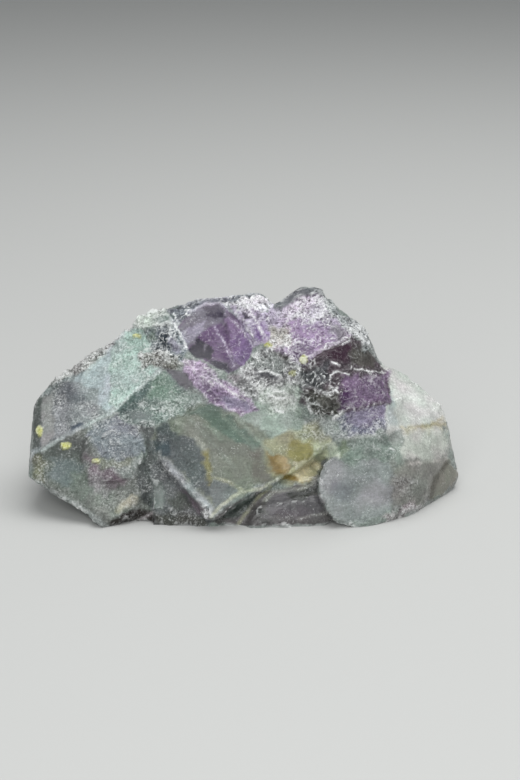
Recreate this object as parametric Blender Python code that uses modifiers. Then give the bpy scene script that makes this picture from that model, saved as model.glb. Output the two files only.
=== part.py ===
"""A raw chunk of rainbow fluorite, lying on its flat cleavage face.

The chunk is one piece. It is built the way it broke: intergrown blocks with flat
cleavage faces are joined, pieces with flat or shell-shaped sides are broken out of
them, and the crumbly places are stepped along the mineral's cleavage directions.

Units are metres, except where a name says millimetres. +Z is up, +X runs along the
chunk, and the origin is on the floor, under the middle of the chunk's box.
"""

import math
import random

import bmesh
import bpy
from mathutils import Vector, noise
from mathutils.bvhtree import BVHTree

# Driving dimensions
MM = 0.001
LENGTH_MM = 100.0
FLOOR_BLOCK_MM = 140.0

# How finely the chunk is broken up
VOXEL_MM = 0.75
TRIANGLES_KEPT = 9000

# The directions that the intergrown crystals cleave along
CLEAVAGE = [
    Vector((0.05, -0.83, 0.56)).normalized(),
    Vector((-0.30, -0.59, 0.75)).normalized(),
    Vector((0.80, -0.25, 0.54)).normalized(),
    Vector((-0.55, 0.62, 0.56)).normalized(),
    Vector((0.45, 0.75, 0.48)).normalized(),
]

# Thin plates that cleavage has left standing on the faces: centre of each group, its reach,
# how many, how wide and how thick, in millimetres
PLATE_GROUPS = [
    ((0.0, 27.0, 18.0), 22.0, 16, (9.0, 18.0), (0.5, 1.4)),
    ((-36.0, 22.0, 14.0), 13.0, 8, (7.0, 13.0), (0.5, 1.3)),
    ((34.0, 22.0, 12.0), 14.0, 8, (7.0, 14.0), (0.5, 1.3)),
    ((-33.0, -26.0, 5.0), 6.0, 5, (3.0, 6.0), (0.4, 0.8)),
]
PLATE_CORNERS = 6
PLATE_CORNER_TURN = 0.35
PLATE_UNEVENNESS = (0.75, 1.2)
PLATE_ROOT_MM = 2.0
PLATE_ROOT_FLARE = 1.1
PLATES_UP_TO_MM = 21.0
PLATE_SEED = 11

# The middle of the chunk, which the plates are placed around, and how far outside the chunk
# their places are sought from, as a multiple of their own distance from it
HEART_MM = Vector((0.0, 0.0, 15.0))
LOOKED_FOR_FROM = 2.0

# The crumbs on broken places, and the small steps that they follow
CRUMB_SIZE_MM = 2.6
CRUMB_DEPTH_MM = 1.1
CRUMB_MIX = 3.7
STEP_MM = 1.2
STEP_PATCH_MM = 6.0
STEP_WANDER = 2.0
STEP_STRENGTH = 0.6

# How fast the crumbs fade towards the end of a place's reach: at 2, the inner half of the
# reach is at full strength
ROUGH_RAMP = 2.0

# Where the surface is crumbly: centre and reach in millimetres, and how strong, from 0 to 1
ROUGH_PLACES = [
    ((-36.0, 4.0, 31.0), 8.0, 0.6),
    ((-28.0, 6.0, 37.0), 6.0, 0.8),
    ((-20.0, 1.0, 35.0), 6.0, 0.9),
    ((-28.0, -20.0, 2.0), 7.0, 0.4),
    ((-16.0, -21.0, 5.0), 6.0, 0.3),
    ((5.0, -6.0, 32.0), 6.0, 0.4),
    ((14.0, -11.0, 28.0), 7.0, 0.6),
    ((21.0, 2.0, 42.0), 8.0, 0.3),
    ((28.0, 3.0, 37.0), 6.0, 0.6),
    ((38.0, -15.0, 7.0), 6.0, 0.25),
    ((0.0, 25.0, 20.0), 24.0, 0.25),
    ((-35.0, 22.0, 14.0), 14.0, 0.25),
    ((34.0, 20.0, 10.0), 14.0, 0.25),
]

# The mineral: a colour between its pale green and its purple, a half-glossy surface, and
# fluorite's own low refraction
FLUORITE_COLOUR = (0.38, 0.40, 0.40, 1.0)
FLUORITE_ROUGHNESS = 0.35
FLUORITE_METALLIC = 0.0
FLUORITE_IOR = 1.434

# Corners of each intergrown block, in millimetres. A block is the convex hull of its
# corners, so its faces are flat, as cleavage faces are.
BLOCKS = {
    "left_slab": [
        # the straight ridge under the upper face
        (-46.0, -12.0, 14.0), (-29.5, -9.5, 22.5), (-18.5, -5.0, 31.0),
        # upper edge
        (-49.0, -0.5, 22.0), (-45.0, 2.0, 26.0), (-31.5, 5.0, 34.0), (-25.5, 7.5, 38.0),
        # left end
        (-48.0, -9.0, 15.0), (-50.0, -8.0, 6.5), (-49.0, -14.5, 9.0),
        # lower front face, which overhangs on the left
        (-41.5, -19.0, 5.5), (-29.5, -23.0, -0.5), (-22.0, -20.0, -1.0), (-26.5, -11.5, 20.0),
        # green face beside the ridge
        (-20.0, -10.0, 20.5), (-10.0, -8.5, 24.0), (-12.0, -5.0, 29.5),
        # back
        (-36.0, 6.0, -1.0), (-47.5, 8.0, 8.0), (-46.0, 12.0, 17.0), (-39.0, 18.0, 19.0),
        (-30.0, 18.0, 29.0), (-21.0, 19.0, 33.0), (-33.0, 21.0, 4.0), (-18.0, 22.0, -1.0),
    ],
    "middle_mass": [
        # shoulder under the hollow
        (-18.5, -5.0, 31.0), (-14.5, -4.5, 33.5), (-9.0, -7.0, 28.0), (-4.0, -7.5, 29.5),
        (-10.0, -9.0, 24.0), (-1.0, -10.0, 25.0), (2.5, -6.0, 31.0), (10.5, -9.5, 24.5),
        (4.0, -4.0, 35.5), (12.5, -8.0, 31.0),
        # top
        (-15.0, 2.0, 39.5), (-18.5, 8.0, 41.0), (-10.5, 10.0, 44.0), (4.0, 11.0, 45.5),
        (6.0, 8.0, 44.0),
        # foot, inside the front blocks
        (-19.0, -15.0, -1.0), (17.0, -15.0, -1.0),
        # back
        (-20.0, 19.0, 33.0), (-4.0, 22.0, 35.5), (10.0, 20.0, 35.0), (14.0, 24.0, -1.0),
        (-6.0, 27.0, 7.0), (-18.0, 23.0, -1.0), (6.0, 26.5, 10.0),
    ],
    "front_wedge": [
        # the big flat front face, pointed at the bottom
        (-19.5, -11.5, 20.5), (-19.5, -15.5, 14.5), (-17.5, -17.5, 13.5), (-15.5, -12.5, 21.5),
        (-7.5, -25.0, 4.0),
        (-6.5, -25.5, 3.0), (-1.0, -22.5, 8.0), (4.0, -20.5, 9.5), (10.5, -18.5, 11.5),
        (17.0, -15.5, 15.5), (19.5, -14.0, 17.0), (18.5, -12.0, 20.0), (12.5, -11.0, 22.5),
        (4.0, -10.5, 24.0), (-1.0, -10.0, 25.0), (-10.0, -9.5, 24.5),
        # the undercut sides of the point
        (-19.0, -14.0, 12.5), (-9.5, -20.5, 1.0), (-5.0, -20.5, 1.0), (0.0, -18.5, 6.0),
        (10.5, -15.0, 9.5), (18.0, -12.0, 13.0),
        # inside
        (-16.0, -3.0, 20.0), (15.0, -3.0, 19.0), (0.0, 0.0, 5.0),
    ],
    "foot": [
        (-20.5, -15.5, 11.5), (-20.5, -20.0, 5.0), (-20.5, -21.5, -1.0), (-8.0, -22.5, -1.0),
        (-9.0, -20.5, 5.0), (0.5, -22.0, -1.0), (4.0, -19.0, 6.0), (12.5, -18.0, 8.0),
        (18.0, -16.5, 9.5), (18.5, -20.5, -1.0),
        (-18.0, 0.0, -1.0), (18.0, 0.0, -1.0), (-16.0, -6.0, 9.0), (16.0, -6.0, 9.0),
    ],
    "foot_plate": [
        (3.0, -21.5, 4.5), (12.5, -20.5, 6.5), (18.0, -19.5, 7.0), (20.0, -21.0, 2.0),
        (18.5, -22.0, -1.0), (0.5, -23.5, -1.0),
        (4.0, -15.0, 4.0), (18.0, -14.0, 5.0), (4.0, -15.0, -1.0), (18.0, -14.0, -1.0),
    ],
    "summit": [
        # ridge between the bright top face and the dark front face
        (15.0, -11.0, 36.0), (24.0, -4.0, 38.5),
        # bright top face
        (4.5, -4.0, 36.5), (10.5, -8.5, 34.5), (7.0, 6.0, 43.0), (17.5, 8.0, 46.5),
        (14.5, 11.0, 47.0),
        # dark front face
        (22.5, -15.0, 24.5), (12.5, -11.5, 27.0), (17.5, -12.5, 23.5), (32.5, -3.0, 29.5),
        (33.0, -8.0, 25.0),
        # right rim
        (23.5, 6.0, 41.5), (27.5, 3.0, 39.5), (30.0, 1.0, 35.5),
        # back, and the part inside the middle mass
        (11.0, 17.0, 40.0), (20.0, 16.0, 37.0), (30.0, 12.0, 28.0), (28.0, 14.0, 5.0),
        (8.0, 16.0, 5.0), (27.0, -6.0, 8.0),
    ],
    "purple_shoulder": [
        (17.0, -11.5, 24.0), (22.5, -13.0, 24.0), (33.0, -7.5, 25.0), (17.5, -14.5, 17.5),
        (24.0, -15.5, 18.5), (29.5, -14.5, 18.0), (34.5, -11.0, 18.5), (37.0, -2.0, 24.0),
        (16.0, -4.0, 20.0), (30.0, 2.0, 20.0), (17.0, -10.0, 8.0), (33.0, -10.0, 8.0),
    ],
    "right_lobe": [
        # upper face
        (31.0, 3.0, 30.5), (36.5, 5.0, 28.0), (40.0, 6.0, 25.5), (43.0, 5.0, 22.0),
        (47.0, 4.0, 19.0), (48.0, 2.0, 16.0), (35.5, -10.5, 18.0),
        # middle face
        (48.5, 1.0, 13.0), (38.0, -14.5, 11.5), (47.0, -4.0, 8.0),
        # lower face and the tip
        (42.5, -11.5, 4.0), (51.0, 0.0, 3.0), (49.5, -1.0, -1.0), (38.5, -15.5, -1.0),
        (28.0, -21.5, -1.0), (33.5, -18.0, 4.0),
        # back
        (46.0, 11.0, -1.0), (45.0, 13.0, 10.0), (37.0, 18.0, 18.0), (26.0, 20.0, 24.0),
        (24.0, 22.0, -1.0), (20.0, -16.0, 2.0),
    ],
    "front_plate": [
        (17.5, -18.0, 13.0), (16.5, -20.5, 9.5), (17.0, -22.0, 6.5), (18.5, -23.0, 4.0),
        (21.0, -23.5, 1.5), (28.0, -22.5, -1.0), (22.5, -16.5, 17.0), (29.5, -15.5, 17.0),
        (34.0, -13.5, 16.0), (40.0, -14.0, 9.0), (41.5, -13.0, 4.0), (39.0, -15.5, -1.0),
        (34.0, -19.0, 3.0), (32.0, -20.0, -1.0),
        (20.0, -12.0, 13.0), (20.0, -15.0, -1.0), (36.0, -8.0, 12.0), (36.0, -10.0, -1.0),
    ],
    "frosted_plate": [
        (-36.0, -13.0, 18.0), (-29.0, -12.6, 20.5), (-24.0, -15.0, 18.0), (-21.8, -17.0, 15.0),
        (-23.5, -18.3, 12.0), (-28.0, -19.2, 10.0), (-34.5, -18.2, 9.5), (-37.0, -15.4, 14.0),
        (-33.0, -9.0, 16.0), (-26.0, -9.0, 16.0), (-28.0, -12.0, 10.0),
    ],
    "top_left_block": [
        (-26.0, 8.0, 38.0), (-24.5, 8.5, 40.0), (-21.5, 7.5, 40.0), (-19.5, 3.0, 38.5),
        (-14.5, 3.0, 40.0), (-17.0, 8.0, 41.5), (-10.0, 11.0, 44.0), (-24.0, 4.5, 36.5),
        (-22.0, 16.0, 34.0), (-12.0, 16.0, 36.0), (-20.0, 0.0, 30.0), (-12.0, 2.0, 31.0),
    ],
    "core": [
        (-30.0, -12.0, -1.0), (28.0, -12.0, -1.0), (44.0, 4.0, -1.0), (32.0, 21.0, -1.0),
        (4.0, 25.0, -1.0), (-28.0, 21.0, -1.0), (-34.0, 6.0, -1.0), (-26.0, 18.0, 14.0),
        (0.0, 23.0, 16.0), (30.0, 17.0, 14.0), (38.0, 4.0, 12.0), (26.0, -10.0, 12.0),
        (0.0, -10.0, 18.0), (-24.0, -10.0, 12.0),
    ],
    "striped_plates": [
        (-3.0, 6.0, 44.0), (4.5, 8.5, 45.5), (6.0, 2.0, 42.0), (5.0, -3.5, 37.5),
        (2.5, -3.5, 37.0), (-1.5, 3.0, 41.0), (0.0, 8.0, 36.0), (5.0, 6.0, 36.0),
    ],
}

# Corners of each piece that broke away, in millimetres, as hulls again
BROKEN_OUT = {
    "purple_hollow": [
        # its rim
        (-15.0, 1.0, 39.5), (-13.5, -3.0, 35.0), (-9.5, -6.5, 32.0), (-4.0, -8.0, 30.5),
        (1.5, -6.5, 32.5), (3.5, -3.0, 36.5), (0.0, 3.0, 41.0), (-7.0, 7.5, 44.0),
        (-12.0, 6.0, 43.0),
        # its steep wall
        (-10.0, 0.5, 35.5), (-5.0, -3.0, 33.0), (-0.5, -3.0, 34.0), (-4.5, 3.0, 37.5),
        # the way out
        (-12.0, -8.0, 46.0), (0.0, -12.0, 42.0), (-8.0, -14.0, 36.0),
    ],
    "chip_under_the_left_end": [
        (-34.0, -26.0, 2.0), (-21.0, -26.0, 4.0), (-21.0, -26.0, -4.0), (-34.0, -26.0, -4.0),
        (-30.0, -19.0, -4.0), (-22.0, -17.0, -4.0), (-23.0, -19.5, 2.0),
    ],
    "scuffed_notch": [
        (10.0, -16.0, 30.0), (19.0, -18.0, 27.0), (20.0, -18.0, 21.0), (11.0, -16.0, 22.0),
        (14.0, -9.0, 28.0), (17.0, -10.0, 24.0), (12.0, -8.5, 25.0),
    ],
    "back_ledge": [
        (-14.0, 42.0, 60.0), (24.0, 42.0, 60.0), (32.0, 42.0, 12.0), (-16.0, 42.0, 22.0),
        (-12.0, 17.0, 46.0), (19.0, 13.5, 46.0), (27.0, 16.0, 20.0), (-13.0, 20.5, 27.0),
    ],
    "back_left_ledge": [
        (-52.0, 40.0, 40.0), (-27.0, 40.0, 44.0), (-22.0, 40.0, 8.0), (-46.0, 40.0, 4.0),
        (-42.0, 13.5, 27.0), (-29.0, 15.5, 29.0), (-25.0, 20.0, 12.0), (-42.0, 15.0, 10.0),
    ],
    "back_right_scoop": [
        (40.0, 40.0, 30.0), (20.0, 44.0, 30.0), (18.0, 44.0, 2.0), (42.0, 36.0, 4.0),
        (36.0, 14.0, 20.0), (26.0, 18.0, 19.0), (24.0, 21.0, 8.0), (36.0, 17.5, 7.0),
    ],
}


def clear_scene():
    for item in list(bpy.data.objects):
        bpy.data.objects.remove(item, do_unlink=True)


def collection(name):
    made = bpy.data.collections.new(name)
    bpy.context.scene.collection.children.link(made)
    return made


def hull(name, corners, home):
    """A block with flat faces: the convex hull of its corners."""
    mesh = bpy.data.meshes.new(name)
    shape = bmesh.new()
    for corner in corners:
        shape.verts.new(Vector(corner) * MM)
    made = bmesh.ops.convex_hull(shape, input=shape.verts)
    inner = [item for item in made["geom_interior"] if isinstance(item, bmesh.types.BMVert)]
    bmesh.ops.delete(shape, geom=inner, context="VERTS")
    bmesh.ops.recalc_face_normals(shape, faces=shape.faces)
    shape.to_mesh(mesh)
    shape.free()
    block = bpy.data.objects.new(name, mesh)
    home.objects.link(block)
    return block


def floor_block(home):
    """A box below the floor, which cuts the base flat."""
    mesh = bpy.data.meshes.new("floor_block")
    shape = bmesh.new()
    bmesh.ops.create_cube(shape, size=FLOOR_BLOCK_MM * MM)
    bmesh.ops.translate(shape, verts=shape.verts, vec=(0.0, 0.0, -FLOOR_BLOCK_MM * MM / 2))
    shape.to_mesh(mesh)
    shape.free()
    block = bpy.data.objects.new("floor_block", mesh)
    home.objects.link(block)
    return block


def boolean(stone, other, operation):
    other.hide_render = True
    other.display_type = "WIRE"
    cut = stone.modifiers.new(other.name, "BOOLEAN")
    cut.object = other
    cut.operation = operation
    cut.solver = "EXACT"


def bake(stone):
    """Puts the modifiers' result into the object's mesh."""
    graph = bpy.context.evaluated_depsgraph_get()
    mesh = bpy.data.meshes.new_from_object(stone.evaluated_get(graph))
    stone.modifiers.clear()
    stone.data = mesh


def add_plates(stone, helpers):
    """Lays thin many-cornered plates on the stone, each parallel to the face it stands on."""
    draw = random.Random(PLATE_SEED)
    shape = bmesh.new()
    shape.from_mesh(stone.data)
    surface = BVHTree.FromBMesh(shape)
    shape.free()
    count = 0
    for centre, reach, plates, widths, depths in PLATE_GROUPS:
        for _ in range(plates):
            offset = Vector([draw.uniform(-1.0, 1.0) * reach for _ in range(3)])
            outside = HEART_MM + (Vector(centre) + offset - HEART_MM) * LOOKED_FOR_FROM
            inward = (HEART_MM - outside).normalized()
            found, normal, _face, _far = surface.ray_cast(outside * MM, inward)
            if found.z > PLATES_UP_TO_MM * MM:
                continue
            across = normal.orthogonal().normalized()
            along = normal.cross(across)
            radius = draw.uniform(*widths) / 2
            depth = draw.uniform(*depths)
            corners = []
            for corner in range(PLATE_CORNERS):
                turn = draw.uniform(-PLATE_CORNER_TURN, PLATE_CORNER_TURN)
                angle = (corner + turn) * math.tau / PLATE_CORNERS
                out = radius * draw.uniform(*PLATE_UNEVENNESS)
                spoke = (across * math.cos(angle) + along * math.sin(angle)) * out
                corners.append(found / MM + spoke + normal * depth)
                corners.append(found / MM + spoke * PLATE_ROOT_FLARE - normal * PLATE_ROOT_MM)
            count += 1
            boolean(stone, hull(f"plate_{count}", corners, helpers), "UNION")
    bake(stone)


def roughness_at(place):
    """How crumbly the surface is at a place in millimetres, from 0 to 1."""
    most = 0.0
    for centre, reach, strength in ROUGH_PLACES:
        near = 1.0 - (place - Vector(centre)).length / reach
        most = max(most, min(1.0, near * ROUGH_RAMP) * strength)
    return most


def crumble(stone):
    """Breaks the crumbly places into small steps along the cleavage, with blocky crumbs."""
    shape = bmesh.new()
    shape.from_mesh(stone.data)
    shape.normal_update()
    for vertex in shape.verts:
        place = vertex.co / MM
        rough = roughness_at(place)
        if rough <= 0.0:
            continue
        facing = max(CLEAVAGE, key=vertex.normal.dot)
        wander = noise.noise(place / STEP_PATCH_MM) * STEP_WANDER
        height = place.dot(facing) / STEP_MM + wander
        step = (round(height) - height) * STEP_MM
        _distances, crumbs = noise.voronoi(place / CRUMB_SIZE_MM)
        crumb = noise.noise(crumbs[0] * CRUMB_MIX) * CRUMB_DEPTH_MM
        vertex.co += (facing * step * STEP_STRENGTH + vertex.normal * crumb) * rough * MM
    shape.to_mesh(stone.data)
    shape.free()


def bring_to_size(stone):
    """Scales the chunk to its length and puts the middle of its box over the origin."""
    places = [vertex.co for vertex in stone.data.vertices]
    low = Vector([min(place[axis] for place in places) for axis in range(3)])
    high = Vector([max(place[axis] for place in places) for axis in range(3)])
    middle = (low + high) / 2
    middle.z = 0.0
    scale = LENGTH_MM * MM / (high.x - low.x)
    for vertex in stone.data.vertices:
        vertex.co = (vertex.co - middle) * scale


def fluorite_material():
    """Clear to milky fluorite, between pale green and purple."""
    material = bpy.data.materials.new("fluorite")
    material.use_nodes = True
    surface = material.node_tree.nodes["Principled BSDF"]
    surface.inputs["Base Color"].default_value = FLUORITE_COLOUR
    surface.inputs["Roughness"].default_value = FLUORITE_ROUGHNESS
    surface.inputs["Metallic"].default_value = FLUORITE_METALLIC
    surface.inputs["IOR"].default_value = FLUORITE_IOR
    return material


def build():
    clear_scene()
    part = collection("raw_fluorite")
    helpers = collection("blocks_and_breaks")
    names = list(BLOCKS)
    stone = hull(names[0], BLOCKS[names[0]], part)
    stone.name = "fluorite"
    for name in names[1:]:
        boolean(stone, hull(name, BLOCKS[name], helpers), "UNION")
    for name, corners in BROKEN_OUT.items():
        boolean(stone, hull(name, corners, helpers), "DIFFERENCE")
    bake(stone)
    add_plates(stone, helpers)
    remesh = stone.modifiers.new("grain", "REMESH")
    remesh.mode = "VOXEL"
    remesh.voxel_size = VOXEL_MM * MM
    bake(stone)
    crumble(stone)
    thin = stone.modifiers.new("thin", "DECIMATE")
    triangles = sum(len(face.vertices) - 2 for face in stone.data.polygons)
    thin.ratio = TRIANGLES_KEPT / triangles
    bake(stone)
    boolean(stone, floor_block(helpers), "DIFFERENCE")
    bake(stone)
    bring_to_size(stone)
    stone.data.materials.clear()
    stone.data.materials.append(fluorite_material())


build()
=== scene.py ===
"""The looks of a raw chunk of rainbow fluorite, lying on a pale table."""

import math

import bmesh
import bpy
import numpy as np
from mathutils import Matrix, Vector, noise


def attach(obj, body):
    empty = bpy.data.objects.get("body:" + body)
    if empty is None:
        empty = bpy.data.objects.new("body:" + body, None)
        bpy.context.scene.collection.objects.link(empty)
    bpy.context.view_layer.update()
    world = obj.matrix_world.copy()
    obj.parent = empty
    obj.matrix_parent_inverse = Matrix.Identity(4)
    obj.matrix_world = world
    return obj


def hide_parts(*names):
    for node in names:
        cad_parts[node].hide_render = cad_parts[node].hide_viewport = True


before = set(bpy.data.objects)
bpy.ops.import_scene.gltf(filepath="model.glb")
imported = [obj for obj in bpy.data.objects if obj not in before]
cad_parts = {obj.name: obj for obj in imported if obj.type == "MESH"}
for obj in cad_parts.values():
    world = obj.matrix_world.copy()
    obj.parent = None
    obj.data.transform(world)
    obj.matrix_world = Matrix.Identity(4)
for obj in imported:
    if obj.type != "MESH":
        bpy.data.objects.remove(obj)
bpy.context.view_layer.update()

# The chunk itself. One piece of natural fluorite, broken from a vein by hand: flat cleavage
# faces, crumbly fracture between them, and sugary crystal grain on the broken places. The
# visible mesh is the solid's own shape at a finer grain, with the crumble broken into it.
MM = 0.001
GRAIN_MM = 0.46

# The front view that the patches below are drawn in: a point seen in the middle, in
# millimetres, how far the eye looks down, and how far off it stands.
FRONT_AIM_MM = np.array([3.2, -0.5, 24.0])
FRONT_TILT = math.radians(20.0)
FRONT_DISTANCE_MM = 420.0

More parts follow.
